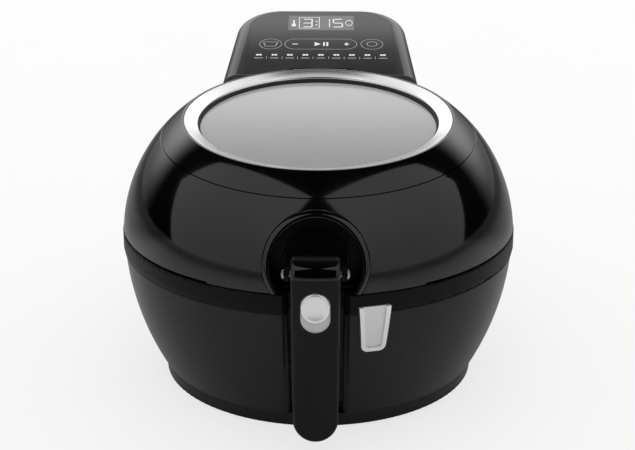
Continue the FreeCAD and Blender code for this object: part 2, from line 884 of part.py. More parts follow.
def make_paddle():
    low = "pan_floor + paddle_lift"
    hub = revolved("Hub", [
        ("post_radius + 1", low),
        ("hub_radius + 2", low),
        ("hub_radius - 3", "post_top + 8"),
        ("hub_radius - 7", "post_top + 14"),
        (0, "post_top + 14"),
        (0, "post_top + 7.4"),
        ("spindle_radius + 0.4", "post_top + 7.4"),
        ("spindle_radius + 0.4", "post_top + 1"),
        ("post_top_radius + 1", "post_top + 1"),
    ])
    clear = revolved("PostClear", [
        (0, 0),
        ("post_radius + 1", 0),
        ("post_radius + 1", "pan_floor"),
        ("post_top_radius + 1", "post_top + 1"),
        (0, "post_top + 1"),
    ])
    blades = [cut(blade(turn), clear) for turn in (20, 200)]
    node(fuse(hub, *blades), "paddle", 0, "(-pan_shift)")
    knob = revolved("Knob", [
        (0, "post_top + 14"), ("knob_radius", "post_top + 14"), ("knob_radius", "post_top + 20"),
        ("knob_radius - 3", "post_top + 23"), (0, "post_top + 23"),
    ])
    node(knob, "paddle_knob", 0, "(-pan_shift)")


def under_crease(lift):
    """Everything under the parting plane of the lid, which is parallel with the ring."""
    return lid_plane(middle_box(300, -300, "-200 - crease_drop + (%s)" % lift, 600, 200))


def above_ring(lift):
    return lid_plane(middle_box(300, -300, lift, 600, 200))


def front_wedge(top):
    """Wedge at the front where the lid comes lower, down to the given height."""
    reach = "(body_radius + 40)"
    half = "%s * sin(front_gap_angle)" % reach
    far = "-%s * cos(front_gap_angle)" % reach
    return padded("Wedge", "XY_Plane", [(0, 0), ("-" + half, far), (half, far)], top, "seam_height + 60")


def forward_round(start, height, radius, length):
    """Round bar along the front-to-back axis, from so far forward."""
    return cylinder(0, "-(%s)" % start, height, radius, length, (1, 0, 0), 90)


def make_lid():
    skin = cut(dome_solid(0), dome_solid("-lid_wall", "seam_height - 5"))
    collar_hole = forward_round(100, "collar_height", "collar_radius + 0.3", 120)
    low_edge = cut(below("seam_height + seam_gap"), front_wedge("seam_height + front_gap"))
    relief = rod(-40, "hinge_back", "hinge_height", "hinge_radius + side_gap", 80)
    trims = (above_ring("-crease_drop"), behind("lid_rear"), collar_hole, low_edge, relief)
    node(cut(skin, *trims), "lid_shell")

    crown_skin = cut(dome_solid(0), dome_solid("-lid_wall", "seam_height - 5"))
    bore = lid_plane(cylinder(0, 0, -30, "ring_radius - 0.3", 60))
    crown = cut(crown_skin, under_crease("crease_gap"), above_ring(0), behind("lid_rear"), bore)
    shelf_ring = lid_plane(revolved("Shelf", [
        ("ring_inner - shelf_reach", "shelf_top - shelf_thick"),
        ("ring_radius + shelf_root", "shelf_top - shelf_thick"),
        ("ring_radius + shelf_root", "shelf_top"),
        ("ring_inner - shelf_reach", "shelf_top"),
    ]))
    shelf = cut(common(shelf_ring, dome_solid("-0.5")), behind("lid_rear"))
    node(cut(fuse(crown, shelf), relief), "lid_crown")

    edge = "ring_radius - side_gap"
    under = "-ring_drop - ring_thick"
    lid_node(revolved("Ring", [
        ("ring_inner", under),
        ("ring_radius - ring_skirt", under),
        ("ring_radius - ring_skirt", "shelf_top"),
        (edge, "shelf_top"),
        (edge, "-side_gap"),
        (edge + " - side_gap", 0),
        ("ring_inner", "-ring_drop"),
    ]), "lid_ring")
    outer = "ring_radius - ring_skirt - 0.3"
    lid_node(revolved("Gasket", [
        ("ring_inner - gasket_thick", "window_top"),
        (outer, "window_top"),
        (outer, under),
        ("ring_inner - side_gap", under),
        ("ring_inner - gasket_thick", under + " - 1.4"),
    ]), "window_gasket")
    lid_node(revolved("Window", [
        (0, "shelf_top"),
        (outer, "shelf_top"),
        (outer, "window_top"),
        (0, "window_top"),
    ]), "lid_window")


def make_lid_front():
    under = below("seam_height + front_gap")
    rear = "-recess_floor + 3"
    back = middle_box(80, rear, 100, 200, 200)
    tube = common(forward_round(100, "collar_height", "collar_radius", 120), dome_solid("collar_proud"))
    tube_hole = forward_round(90, "collar_height", "collar_inner", 140)
    tube = cut(tube, tube_hole, back)

    def front_edge(edge):
        room = edge.BoundBox
        outer = max(room.XMax, -room.XMin) > value("collar_radius") - 0.5
        return outer and room.YMax < -value("recess_floor") and room.ZLength > 5

    node(cut(rounded(tube, "collar_round", front_edge), under), "lid_collar")

    floor_disc = forward_round("recess_floor - 3", "collar_height", "collar_inner - 0.2", 3)
    notch = padded("Notch", "XZ_Plane", mirrored([
        ("notch_half", 100),
        ("notch_half", "collar_height - notch_drop"),
        (0, "collar_height - notch_drop + notch_half", "notch_half"),
    ]), 120, 220)
    node(cut(floor_disc, notch, under), "lid_recess")


def make_lid_inside():
    low = "seam_height + 3.7"
    liner = cylinder(0, 0, low, "lid_low_radius - lid_wall - side_gap", "liner_thick")
    hole = cylinder(0, "-pan_shift", 0, "pan_outer + 2", 300)
    front = middle_box("collar_radius - 2", -250, 0, 250 - 130, 300)
    node(cut(liner, hole, behind("lid_rear"), front), "lid_liner")
    seal = revolved("Seal", [
        ("pan_outer + 3", "seam_height + 1.2"),
        ("pan_outer + 5", "seam_height + 0.5"),
        ("pan_outer + 3 + seal_width", "seam_height + 1.2"),
        ("pan_outer + 3 + seal_width", low),
        ("pan_outer + 3", low),
    ])
    seal = move(seal, 0, "-pan_shift", 0)
    seal_front = middle_box("collar_radius - 2", -250, 0, 250 - 100, 300)
    node(cut(seal, behind("lid_rear"), seal_front), "lid_seal")

    tall = "latch_drop - catch_thick + 3.7"
    tongue = middle_box(4.4, "-catch_forward", "latch_top + catch_thick", "catch_thick", tall)
    window = middle_box(2.7, "-body_radius", "latch_top + 4.5", 20, 4.4)
    latch_node(cut(tongue, window), "lid_catch")

    lugs = []
    for x in ("lug_inner", "-lug_inner - lug_wide"):
        barrel = rod(x, "hinge_back", "hinge_height", "hinge_radius", "lug_wide")
        web = box(x, "lid_rear", "hinge_height - 12", "lug_wide", "hinge_back - lid_rear", 12)
        lugs.append(fuse(barrel, web))
    pin_hole = rod(-60, "hinge_back", "hinge_height", "hinge_pin_radius + 0.05", 120)
    node(group(*[cut(lug, pin_hole) for lug in lugs]), "lid_hinge_lugs")


def column_solid(inset, lid_drop, shoulder, front):
    """Rear column as a full block with rounded shoulders along its sloping top."""
    block = padded("ColumnBlock", "XY_Plane", column_outline(inset, front), "plinth_height", 330)
    block = cut(block, above_deck("-(%s)" % lid_drop))
    slope = math.radians(value("deck_slope"))
    normal = Vector(0, -math.sin(slope), math.cos(slope))
    start = Vector(0, value("column_front"), value("deck_height")) - normal * value(lid_drop)
    front_y = value(front)

    def on_top(edge):
        points = [vertex.Point for vertex in edge.Vertexes]
        level = all(abs((point - start).dot(normal)) < 0.01 for point in points)
        return level and not all(abs(point.y - front_y) < 0.01 for point in points)

    return rounded(block, shoulder, on_top)


def fascia_outline(grow, front="fascia_front"):
    half = "fascia_half + (%s)" % grow
    half_rear = "fascia_half_rear + (%s)" % grow
    corner = "fascia_corner + (%s)" % grow
    back = "fascia_back + (%s)" % grow
    return mirrored([
        (half, "%s - (%s)" % (front, grow)),
        (half_rear, "%s - (%s)" % (back, corner)),
        ("%s - (%s)" % (half_rear, corner), back, corner),
    ])


def lip_notch():
    """Opening in the front edge of the deck that leaves room for the lid hinge."""
    return padded("LipNotch", "XY_Plane", mirrored([
        ("lip_notch_wide", "-deck_lip - 30"),
        ("lip_notch_wide", "-deck_lip - 0.5"),
        ("lip_notch_half", 1),
    ]), -40, 40)


def make_column():
    shell = cut(
        column_solid(0, 0, "deck_shoulder", "column_front"),
        column_solid("wall", "wall + 3", "deck_shoulder - 5", "column_front + wall"),
    )
    round_body = fuse(
        base_solid("fit_gap"),
        cylinder(0, 0, "band_bottom", "body_radius + fit_gap", "seam_height - band_bottom"),
        dome_solid("fit_gap"),
    )
    shell = cut(shell, round_body)
    lip = common(
        column_solid(0, 0, "deck_shoulder", "column_front - deck_lip"),
        above_deck("-deck_lip_deep"),
        ahead("column_front + wall"),
    )
    lip = cut(lip, dome_solid("deck_lip_clear"), deck_plane(lip_notch()))
    seat = deck_plane(padded("FasciaSeat", "XY_Plane", fascia_outline(0.2), "-fascia_thick", 20))
    opening = deck_plane(padded("FasciaHole", "XY_Plane", fascia_outline(-6, "wall"), -30, 20))
    node(cut(fuse(common(shell, above_deck("-deck_depth")), lip), seat, opening), "control_deck")

    slots = [middle_box(34, "column_rear - 28", "60 + %d" % (8 * index), 60, 3.6) for index in range(9)]
    gland_hole = cylinder("gland_side", "column_rear - 28", "gland_height", 8.8, 60, (1, 0, 0), -90)
    lower = cut(shell, above_deck("-deck_depth - 0.4"), *slots)
    node(cut(lower, gland_hole), "rear_housing")
    ring = revolved("GlandRing", [
        (4, -14), (7, -14), (7, -6.2), (11.5, -6.2), (11.5, -3.2), (8.4, -3.2), (8.4, -0.6), (7.8, 0), (4, 0),
    ])
    node(ring, "cord_gland", "gland_side", "column_rear", "gland_height", (1, 0, 0), -90)


def make_deck():
    glass = padded("Glass", "XY_Plane", fascia_outline(0), "-fascia_thick", 0)
    lens = rectangle("display_half + 0.1", "display_front - 0.1", "display_front + display_deep + 0.1")
    add_pocket(glass, "XY_Plane", lens, -1, 1)
    deck_node(cut(glass, lip_notch()), "control_fascia")
    lens_plate = rectangle("display_half", "display_front", "display_front + display_deep")
    deck_node(padded("Lens", "XY_Plane", lens_plate, -1, 0), "display_lens")
    module = rectangle("display_half + 3", "display_front - 3", "display_front + display_deep + 3")
    deck_node(padded("Module", "XY_Plane", module, "-board_drop", "-fascia_thick"), "display_module")
    outline = rectangle("fascia_half + 1", "fascia_front + 12", "fascia_back - 12")
    board = padded("Board", "XY_Plane", outline, "-board_drop - board_thick", "-board_drop")
    low = "key_centre - key_size / 2"
    high = "key_centre + key_size / 2"
    keys = []
    for x in (-49.5, -25, 0, 25, 50.5):
        left = "%s - key_size / 2" % x
        right = "%s + key_size / 2" % x
        keys.append(padded("Touch", "XY_Plane", [(left, low), (right, low), (right, high), (left, high)],
                           "-board_drop", "-fascia_thick"))
    deck_node(fuse(board, *keys), "control_board")
    posts = []
    for x in ("-fascia_half + 3", "fascia_half - 3"):
        for v in ("fascia_front + 20", "fascia_back - 36"):
            posts.append(cylinder(x, v, "-board_drop", 3, "board_drop - wall - 3"))
    deck_node(group(*posts), "board_posts")


def make_air():
    solid = cut(dome_solid(0), ahead("cowl_front"))
    inner = cut(dome_solid("-lid_wall", "seam_height - 5"), ahead("cowl_front + wall"))
    inner = cut(inner, below("seam_height + wall"))
    outlet = middle_box("outlet_half", "cowl_front - 28", "seam_height + 10", 45, "outlet_tall")
    inlet = middle_box(24, "cowl_front + 12", "fan_low + 2", 80, 24)
    node(cut(solid, inner, outlet, inlet), "air_cowl")
    bars = []
    for index in range(6):
        level = "seam_height + 13 + %d * (outlet_tall - 6) / 5" % index
        bars.append(middle_box("outlet_half - 0.4", "cowl_front", level, "wall", 1.6))
    for share in (-1, -0.34, 0.34, 1):
        x = "%s * (outlet_half - 1.2) - 0.8" % share
        bars.append(box(x, "cowl_front", "seam_height + 10.2", 1.6, "wall", "outlet_tall - 0.4"))
    node(fuse(*bars), "outlet_grille")

    rods = []
    for index in range(4):
        level = "seam_height + 14.7 + %d * heater_step" % index
        rods.append(rod(-50, "cowl_front + 14", level, 2.6, 100))
    ends = [box(x, "cowl_front + 11", "seam_height + wall", 4, 6, "18 + 3 * heater_step") for x in (-54, 50)]
    node(fuse(*rods, *ends), "heater")

    outline = column_outline("wall + fit_gap", "body_radius + 2.8")
    plate = padded("FanDeck", "XY_Plane", outline, "fan_low - 9", "fan_low - 6")
    drum = cylinder(0, "fan_centre", "fan_low - 6", "fan_radius + 6", "fan_height + 14")
    drum_hole = cylinder(0, "fan_centre", "fan_low - 3", "fan_radius + 3", "fan_height + 8")
    duct = middle_box(23, "body_radius + 1", "fan_low - 6", "fan_centre - body_radius - 1", "fan_height + 10")
    duct_hole = middle_box(
        20, "body_radius - 26", "fan_low - 3", "fan_centre - body_radius + 26", "fan_height + 4")
    eye = cylinder(0, "fan_centre", "fan_low + 20", "fan_radius * 0.6", 60)
    shaft_hole = cylinder(0, "fan_centre", "fan_low - 20", 6, 30)
    node(cut(fuse(plate, drum, duct), drum_hole, duct_hole, eye, shaft_hole), "fan_housing")
    node(cut(revolved("FanMotor", [
        (0, "fan_low - 55"), (22, "fan_low - 55"), (24, "fan_low - 52"), (24, "fan_low - 13"),
        (28, "fan_low - 13"), (28, "fan_low - 9"), (0, "fan_low - 9"),
    ]), cylinder(0, 0, "fan_low - 25", 3, 60)), "fan_motor", 0, "fan_centre")
    hub = revolved("FanHub", [
        (0, "fan_low - 20"), (2.6, "fan_low - 20"), (2.6, "fan_low"), ("fan_radius", "fan_low"),
        ("fan_radius", "fan_low + 2"), (8, "fan_low + 2"), (6, "fan_low + 14"), (0, "fan_low + 14"),
    ])
    vanes = []
    for index in range(16):
        vane = box("fan_radius - 8", -0.7, "fan_low + 1", 7, 1.4, "fan_height - 2")
        vane = move(group(vane), axis=(0, 0, 1), turn=index * 22.5)
        vanes.append(vane)
    rim = cut(cylinder(0, 0, "fan_low + fan_height - 2", "fan_radius", 2),
              cylinder(0, 0, "fan_low", "fan_radius - 9", 60))
    node(fuse(hub, rim, *vanes), "fan_wheel", 0, "fan_centre")

    board = middle_box(48, "fan_centre - 42", "plinth_height", 56, "board_thick")
    top = "plinth_height + 1"
    lumps = [
        box(-40, "fan_centre - 36", top, 24, 18, 16),
        box(-10, "fan_centre - 36", top, 18, 14, 12),
        cylinder(24, "fan_centre - 24", top, 8, 22),
        cylinder(40, "fan_centre - 2", top, 6, 18),
        box(-40, "fan_centre - 8", top, 30, 16, 14),
    ]
    feet = []
    for x in (-43, 43):
        for y in ("fan_centre - 37", "fan_centre + 9"):
            feet.append(cylinder(x, y, 7.5, 3, "plinth_height - 7"))
    node(fuse(board, *lumps, *feet), "power_board")


def make_hinge():
    inner = "(lug_inner + lug_wide + lug_gap)"
    outer = "(%s + bracket_lug)" % inner
    bar = middle_box(outer + " + 1", "hinge_back + hinge_radius + 0.3", "hinge_height - 4",
                     "column_front - hinge_back - hinge_radius - 0.3", 6.5)
    lugs = []
    for x in (inner, "-" + outer):
        lugs.append(rod(x, "hinge_back", "hinge_height", "hinge_radius", "bracket_lug"))
        lugs.append(box(x, "hinge_back", "hinge_height - 3", "bracket_lug", "column_front - hinge_back", 5.5))
    pin_hole = rod(-60, "hinge_back", "hinge_height", "hinge_pin_radius", 120)
    node(cut(fuse(bar, *lugs), pin_hole), "hinge_bracket")
    node(rod("-" + outer, "hinge_back", "hinge_height", "hinge_pin_radius", "2 * " + outer), "hinge_pin")


def make_latch():
    button = common(
        padded("Button", "XZ_Plane", latch_outline(0), "latch_inner", "reach"),
        base_solid("latch_proud"),
    )
    upper = common(
        padded("ButtonTop", "XZ_Plane", latch_outline(0), "latch_inner", "base_top_radius + latch_proud"),
        middle_box(40, -250, "band_bottom", 200, 40),
    )
    dish = padded("Dish", "XZ_Plane", mirrored([
        ("latch_half_low - latch_rim - 3", "latch_low + latch_rim"),
        ("latch_half_low - latch_rim", "latch_low + latch_rim + 3", 3),
        ("latch_half_top - latch_rim", "latch_top + 5"),
    ]), "latch_inner - 7", "body_radius + 44")
    keep = base_solid("latch_proud - latch_dish")
    keep_top = cylinder(0, 0, "band_bottom", "base_top_radius + latch_proud - latch_dish", 40)
    latch_node(cut(fuse(button, upper), cut(dish, fuse(keep, keep_top))), "latch_button")
    clear = "(catch_thick + latch_travel + 0.1)"
    arm = middle_box(5, "-catch_forward + " + clear, "latch_top", 2, 8)
    nose = middle_box(2.2, "-catch_forward + %s - 2" % clear, "latch_top + 5.4", 2.2, 2.6)
    latch_node(fuse(arm, nose), "latch_hook")
    spring = coil(4, 0.5, 8.8, 5)
    spring = move(group(spring), 0, "-latch_inner + 9.6", "(latch_top + latch_low) / 2 - 2.5", (1, 0, 0), 90)
    node(group(spring), "latch_spring", axis=(0, 0, 1), turn="latch_turn")


def handle_solid():
    """The whole handle, hanging down, before it is split in two."""
    low_half = "(handle_half - handle_taper)"
    front_view = padded("HandleFront", "XZ_Plane", mirrored([
        (0, "handle_bottom"),
        (low_half, "handle_bottom + " + low_half, low_half),
        ("handle_half", "pivot_height + knuckle_radius + 5"),
    ]), "handle_back_forward - 20", "handle_front + 15")
    side_view = padded("HandleSide", "YZ_Plane", [
        ("-handle_back_forward - 3", "handle_bottom - 1"),
        ("-handle_back_forward", "handle_bottom + 40"),
        ("-handle_back_forward", "pivot_height - 22"),
        ("-pivot_forward + knuckle_radius", "pivot_height"),
        ("-pivot_forward", "pivot_height + knuckle_radius", "knuckle_radius"),
        ("-handle_front", "pivot_height", "knuckle_radius"),
        ("-handle_front", "handle_bottom - 1"),
    ], -40, 40)
    front_y = -value("handle_front")

    def outer(edge):
        room = edge.BoundBox
        ahead_of_pin = room.YMin < front_y + 0.01 and room.YMax < -value("pivot_forward") + 0.01
        return ahead_of_pin and room.XLength < 2 * value("handle_half") - 1

    return rounded(common(front_view, side_view), "handle_round", outer)


def stadium(half, centre, length):
    """Upright slot outline."""
    low = "%s - (%s) / 2" % (centre, length)
    high = "%s + (%s) / 2" % (centre, length)
    return mirrored([
        (0, low),
        (half, "%s + (%s)" % (low, half), half),
        (half, "%s - (%s)" % (high, half)),
        (0, high, half),
    ])


def track_slot():
    """Slot that the neck of the thumb button slides in, with its travel below."""
    half = "(thumb_neck + side_gap)"
    long = "(2 * %s + thumb_travel)" % half
    return middle_box(half, "-handle_front - 15", "thumb_mid + %s - %s" % (half, long), 40, long)


def domed(half, length, proud):
    """Layer of the thumb button with a domed face."""
    outline = stadium(half, "thumb_mid", length)
    layer = padded("ThumbLayer", "XZ_Plane", outline, "thumb_back", "handle_front + 4")
    ball = doc.addObject("Part::Sphere", "Ball")
    bind(ball, "Radius", "thumb_dome")
    move(ball, 0, "-handle_front - (%s) + thumb_dome" % proud, "thumb_mid")
    return common(layer, ball)


def make_handle():
    front_part = middle_box(60, -300, 0, "300 - pivot_forward", 300)
    bore = rod(-60, "-pivot_forward", "pivot_height", "handle_pin_radius + 0.05", 120)
    slot = padded("Slot", "XZ_Plane", stadium("track_half", "track_height", "track_length"),
                  "handle_front - track_depth", 240)
    neck_slot = track_slot()
    cavity = middle_box(8, "-handle_front + 6", "track_height - 26.5", 9, 44)
    screw_heights = ("handle_bottom + 29.5", "track_height - 42.5")
    behind_back = "handle_back_forward - 5"
    screw_posts = [forward_round(behind_back, z, "screw_shank + 0.1", 19.5) for z in screw_heights]
    heads = [forward_round(behind_back, z, "screw_head + 0.2", 9) for z in screw_heights]
    neck_part = common(neck_slot, middle_box(40, "-handle_front", 0, 10, 300))
    node(cut(common(handle_solid(), front_part), bore, slot, neck_part, cavity, *screw_posts), "handle_front")
    node(cut(handle_solid(), front_part, bore, *screw_posts, *heads), "handle_back")
    screws = []
    for z in screw_heights:
        screws.append(move(screw(0, 2.4, 12.4), 0, "-handle_back_forward - 1", z, (1, 0, 0), 90))
    node(group(*screws), "handle_screws")
    node(rod("-handle_half - 4.8", "-pivot_forward", "pivot_height", "handle_pin_radius",
             "2 * handle_half + 9.6"), "handle_pin")

    track = padded("Track", "XZ_Plane", stadium("track_half - 0.1", "track_height", "track_length - 0.2"),
                   "handle_front - track_depth", "handle_front - track_depth + 1.2")
    node(cut(track, track_slot()), "button_track")

    pad = domed("thumb_radius", "thumb_long", "thumb_proud - thumb_ridge")
    oval = domed("thumb_radius * 0.66", "thumb_long * 0.72", "thumb_proud")
    neck = middle_box("thumb_neck", "-thumb_back", "thumb_mid - thumb_neck", 5.2, "2 * thumb_neck")
    node(fuse(pad, oval, neck), "handle_button")
    pawl_y = "-thumb_back + 5.2"
    node(middle_box(6.5, pawl_y, "thumb_mid - 14", 4, 24), "lock_pawl")
    spring = coil(3, 0.45, "thumb_mid - 14.6 - track_height + 25.9", 5)
    node(group(spring), "button_spring", 0, "(%s + 4)" % pawl_y, "track_height - 26")


def finish():
    doc.recompute()
    os.makedirs("parts", exist_ok=True)
    failed = [item for item in doc.Objects if "Invalid" in item.State or "Error" in item.State]
    for item in failed:
        owners = ", ".join(owner.Label for owner in item.InListRecursive)
        print("failed: %s, used in %s" % (item.Label, owners))
    if failed:
        raise RuntimeError("%d objects of the document failed" % len(failed))
    for item in NODES:
        shape = item.Shape
        if shape.isNull() or not shape.isValid() or not shape.Solids:
            raise RuntimeError("%s has no good shape" % item.Label)
        shape.exportStep(os.path.join("parts", item.Label + ".step"))
        print("%-18s solids %d volume %.0f" % (item.Label, len(shape.Solids), shape.Volume))


make_base()
make_pan()
make_paddle()
make_lid()
make_lid_front()
make_lid_inside()
make_column()
make_deck()
make_air()
make_hinge()
make_latch()
make_handle()
finish()
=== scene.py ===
import json
import math

import bmesh
import bpy
from mathutils import Matrix, Vector


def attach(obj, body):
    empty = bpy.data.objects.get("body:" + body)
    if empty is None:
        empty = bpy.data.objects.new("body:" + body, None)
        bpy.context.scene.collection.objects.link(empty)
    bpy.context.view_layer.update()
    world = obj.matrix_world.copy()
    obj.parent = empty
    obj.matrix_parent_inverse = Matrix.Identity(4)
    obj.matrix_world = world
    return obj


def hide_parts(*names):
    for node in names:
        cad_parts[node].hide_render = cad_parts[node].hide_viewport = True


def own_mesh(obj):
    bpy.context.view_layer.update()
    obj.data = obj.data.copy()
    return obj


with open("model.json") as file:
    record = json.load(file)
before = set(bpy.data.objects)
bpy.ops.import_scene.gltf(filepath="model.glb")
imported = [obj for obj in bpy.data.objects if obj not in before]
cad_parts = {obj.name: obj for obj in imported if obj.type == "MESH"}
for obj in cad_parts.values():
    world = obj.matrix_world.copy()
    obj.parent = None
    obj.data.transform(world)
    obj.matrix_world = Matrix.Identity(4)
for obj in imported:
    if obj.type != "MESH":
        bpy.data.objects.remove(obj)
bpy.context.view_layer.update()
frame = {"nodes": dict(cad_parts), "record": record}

# Lengths are millimetres unless a comment says otherwise. The round body is drawn about its own axis,
# and BODY_Y moves it into the shared frame; values that start from BODY_Y are already there.
MM = 0.001
BODY_Y = -30.95

# Profile of the lid's dome and of the belly: (radius, height) ends, and the arc between them.
LID_LOW = (175.7, 137.31)
LID_HIGH = (90.0, 258.6)
LID_ARC = 140.15
LID_WALL = 3.2
BASE_LOW = (142.2, 14.0)
BASE_HIGH = (174.6, 119.0)
BASE_ARC = 243.7
BASE_WALL = 3.0
BAND_RADII = (176.2, 175.4, 175.0)
PLINTH_RADII = (140.2, 141.6)

# Ring, gasket and window, turned about the tilted axis of the lid's top.
RING_Y = BODY_Y - 13.6
RING_CENTRE = Vector((0, RING_Y, 240.7))
LID_TILT = math.radians(4.96)
RING_PROFILE = [(105.8, -5.3), (114.4, -5.3), (114.4, -12.1), (117.8, -12.1), (117.8, 0.0), (105.8, -3.7)]
RING_ROUND = 0.7
GASKET_PROFILE = [(103.8, -8.1), (114.1, -8.1), (114.1, -5.3), (105.2, -5.3), (103.8, -6.7)]
GASKET_ROUND = 0.4
WINDOW_PROFILE = [(0.0, -12.1), (114.1, -12.1), (114.1, -8.1), (0.0, -8.1)]
WINDOW_RADIUS = 104.0
RING_SEGMENTS = 256

# Control deck: a point on its sloping face, and the legends printed there.
DECK_CENTRE = Vector((0, BODY_Y + 133.0, 243.3))
DECK_SLOPE = math.radians(13.0)
DECK_LENGTH = 100.0
DECK_FRONT = BODY_Y + 121.0
DECK_EDGE = (-14.0, -6.0)
LEGEND_LIFT = 0.06
DIGIT_ROW = 88.0
DIGIT_TALL = 19.0
KEY_ROW = (41.0, 62.5)
KEY_LINE = 0.55
SIGN_LINE = 0.7
SIGN_COUNT = 9
SIGN_FIRST = -60.0
SIGN_PITCH = 15.1

# Half-round front of the collar around the handle's recess.
COLLAR_HEIGHT = 160.5
COLLAR_MIDDLE = 40.7
COLLAR_HALF = 3.3
COLLAR_PROUD = 1.6
COLLAR_ROOT = 0.6
COLLAR_CLEAR = 0.2
COLLAR_END = 138.0

# Handle, its pin and the thumb button.
PIN_Y = -189.0
PIN_HEIGHT = 162.0
KNUCKLE = 15.5
HANDLE_HALF = 20.3
HANDLE_CROWN = 2.4
HANDLE_POLISH = 162.5
HANDLE_CREST = 174.5
CAP_SIDE = 25.1
CAP_RADIUS = 4.0
CAP_PROFILE = [(0.0, 0.0), (CAP_RADIUS, 0.0), (CAP_RADIUS, 1.4), (2.4, 2.4), (0.0, 2.6)]
CAP_ROUND = 0.5
CAP_SEGMENTS = 48
THUMB_HEIGHT = 138.6
THUMB_RADIUS = 11.6
THUMB_STRETCH = 1.2
THUMB_PROUD = 1.6
THUMB_DISH = 0.9
THUMB_DISH_SHARE = 0.74
THUMB_DISH_DROP = 0.25
THUMB_DISH_STEPS = 12
THUMB_RIM = [
    (1.0, -2.4), (1.0, 0.2), (0.985, 0.7), (0.95, 1.1), (0.90, 1.45), (0.84, THUMB_PROUD), (0.78, 1.5)]
LATCH_RIM = 3.5

# Finer meshes: points closer than MERGE, in metres, are one, and edges past these angles stay sharp.
MERGE = 0.000001
MERGE_CAD = 0.00002
SPLIT_ROUNDS = 5
SHARP_CAD = math.radians(28)
SHARP_TURNED = math.radians(25)
SHARP_GRID = math.radians(40)
BEVEL_ANGLE = math.radians(35)
BEVEL_STEPS = 3

# Camera fitted to the photo, with its focal length in the photo's pixels.
PHOTO_WIDTH = 635.0
SENSOR_WIDTH = 36.0
CAMERA_FOCUS = 1676.3
CAMERA_SHIFT = -0.95
CAMERA_AWAY = 1426.4
CAMERA_HEIGHT = 667.4
CAMERA_YAW = math.radians(0.7)
CAMERA_DIP = math.radians(20.53)

# Studio: corners of a light panel as (azimuth from the front, elevation) in degrees, seen from PANEL_AIM
# above the floor; its reach and the floor's radius are metres, and the rest are strengths.
PANEL_CORNERS = [(-23, -2), (-22, 27), (-4, 51), (-96, 46), (-103, 24), (-88, -2)]
PANEL_AIM = 160.0
PANEL_REACH = 2.4
PANEL_LEFT = 0.62
PANEL_RIGHT = 0.60
FLOOR_RADIUS = 6.0
FLOOR_GLOW = 0.72
SKY_FILL = 1.12


class Wire:
    """A shader socket that can be used in plain sums."""

    def __init__(self, shade, socket):
        self.shade = shade
        self.socket = socket

    def sum(self, kind, other, flip=False):
        pair = (other, self) if flip else (self, other)
        return self.shade.node("Math", {"operation": kind}, {0: pair[0], 1: pair[1]}, 0)

    def __add__(self, other):
        return self.sum("ADD", other)

    def __sub__(self, other):
        return self.sum("SUBTRACT", other)

    def __rsub__(self, other):
        return self.sum("SUBTRACT", other, True)

    def __mul__(self, other):
        return self.sum("MULTIPLY", other)

    def __truediv__(self, other):
        return self.sum("DIVIDE", other)

    def __pow__(self, other):
        return self.sum("POWER", other)

    __radd__ = __add__
    __rmul__ = __mul__

    def step(self, low, high, start=0.0, end=1.0):
        """Smooth change from start to end while the value goes from low to high."""
        return self.shade.node("MapRange", {"interpolation_type": "SMOOTHSTEP"}, {
            "Value": self, "From Min": low, "From Max": high, "To Min": start, "To Max": end}, 0)


class Shade:
    """One material's node tree."""

    def __init__(self, tree):
        self.tree = tree
        tree.nodes.clear()

    def node(self, kind, settings, sockets, out):
        """A new node with its settings and inputs, as the wire from one of its outputs."""
        made = self.tree.nodes.new("ShaderNode" + kind)
        for key, setting in settings.items():
            setattr(made, key, setting)
        for key, source in sockets.items():
            if isinstance(source, Wire):
                self.tree.links.new(source.socket, made.inputs[key])
            else:
                made.inputs[key].default_value = source
        return Wire(self, made.outputs[out])

    def end(self, kind, shader):
        """Join the shader to the tree's output."""
        target = self.tree.nodes.new("ShaderNodeOutput" + kind)
        self.tree.links.new(shader.socket, target.inputs[0])

    def place(self):
        """Position on the part at rest, in metres."""
        return self.node("TexCoord", {}, {}, "Object")

    def split(self, vector):
        """The three parts of a vector."""
        return [self.node("SeparateXYZ", {}, {0: vector}, axis) for axis in "XYZ"]

    def noise(self, scale, detail=3.0, rough=0.5, vector=None):
        return self.node("TexNoise", {}, {
            "Vector": vector or self.place(), "Scale": scale, "Detail": detail, "Roughness": rough}, 0)

    def mix(self, factor, low, high):
        return self.node("Mix", {"data_type": "RGBA"}, {0: factor, 6: low, 7: high}, 2)

    def bump(self, height, strength, distance):
        return self.node("Bump", {}, {"Height": height, "Strength": strength, "Distance": distance}, 0)


MATERIALS = {}


def new_shade(name):
    """A new material without a surface, and its node tree."""
    made = bpy.data.materials.new(name)
    made.use_nodes = True
    return made, Shade(made.node_tree)


def material(name):
    """Register a function that fills in a material's shader inputs."""
    def keep(fill):
        made, shade = new_shade(name)
        surface = shade.node("BsdfPrincipled", {}, fill(shade), 0)
        shade.end("Material", surface)
        MATERIALS[name] = made
        return fill
    return keep


def grey(level, tint=0.0):
    """A grey colour, with its blue raised by a share."""
    return (level, level, level * (1 + tint), 1)


@material("gloss black moulding")
def gloss_black(s):
    smudge = s.noise(14.0, 4.0, 0.6)
    flow = s.noise(90.0, 2.0)
    return {
        "Base Color": s.mix(smudge, grey(0.0006, 0.1), grey(0.0014, 0.1)),
        "Roughness": 0.07 + 0.06 * smudge.step(0.35, 0.75),
        "Coat Weight": 0.35 + 0.2 * smudge,
        "Coat Roughness": 0.05,
        "Normal": s.bump(flow, 0.02, 0.0006),
    }


@material("satin black moulding")
def satin_black(s):
    grain = s.noise(1400.0, 2.0, 0.7)
    cloud = s.noise(11.0, 3.0)
    return {
        "Base Color": s.mix(cloud, grey(0.009, 0.06), grey(0.013, 0.06)),
        "Roughness": 0.19 + 0.08 * cloud + 0.05 * grain,
        "Specular IOR Level": 0.27,
        "Normal": s.bump(grain, 0.05, 0.00012),
    }


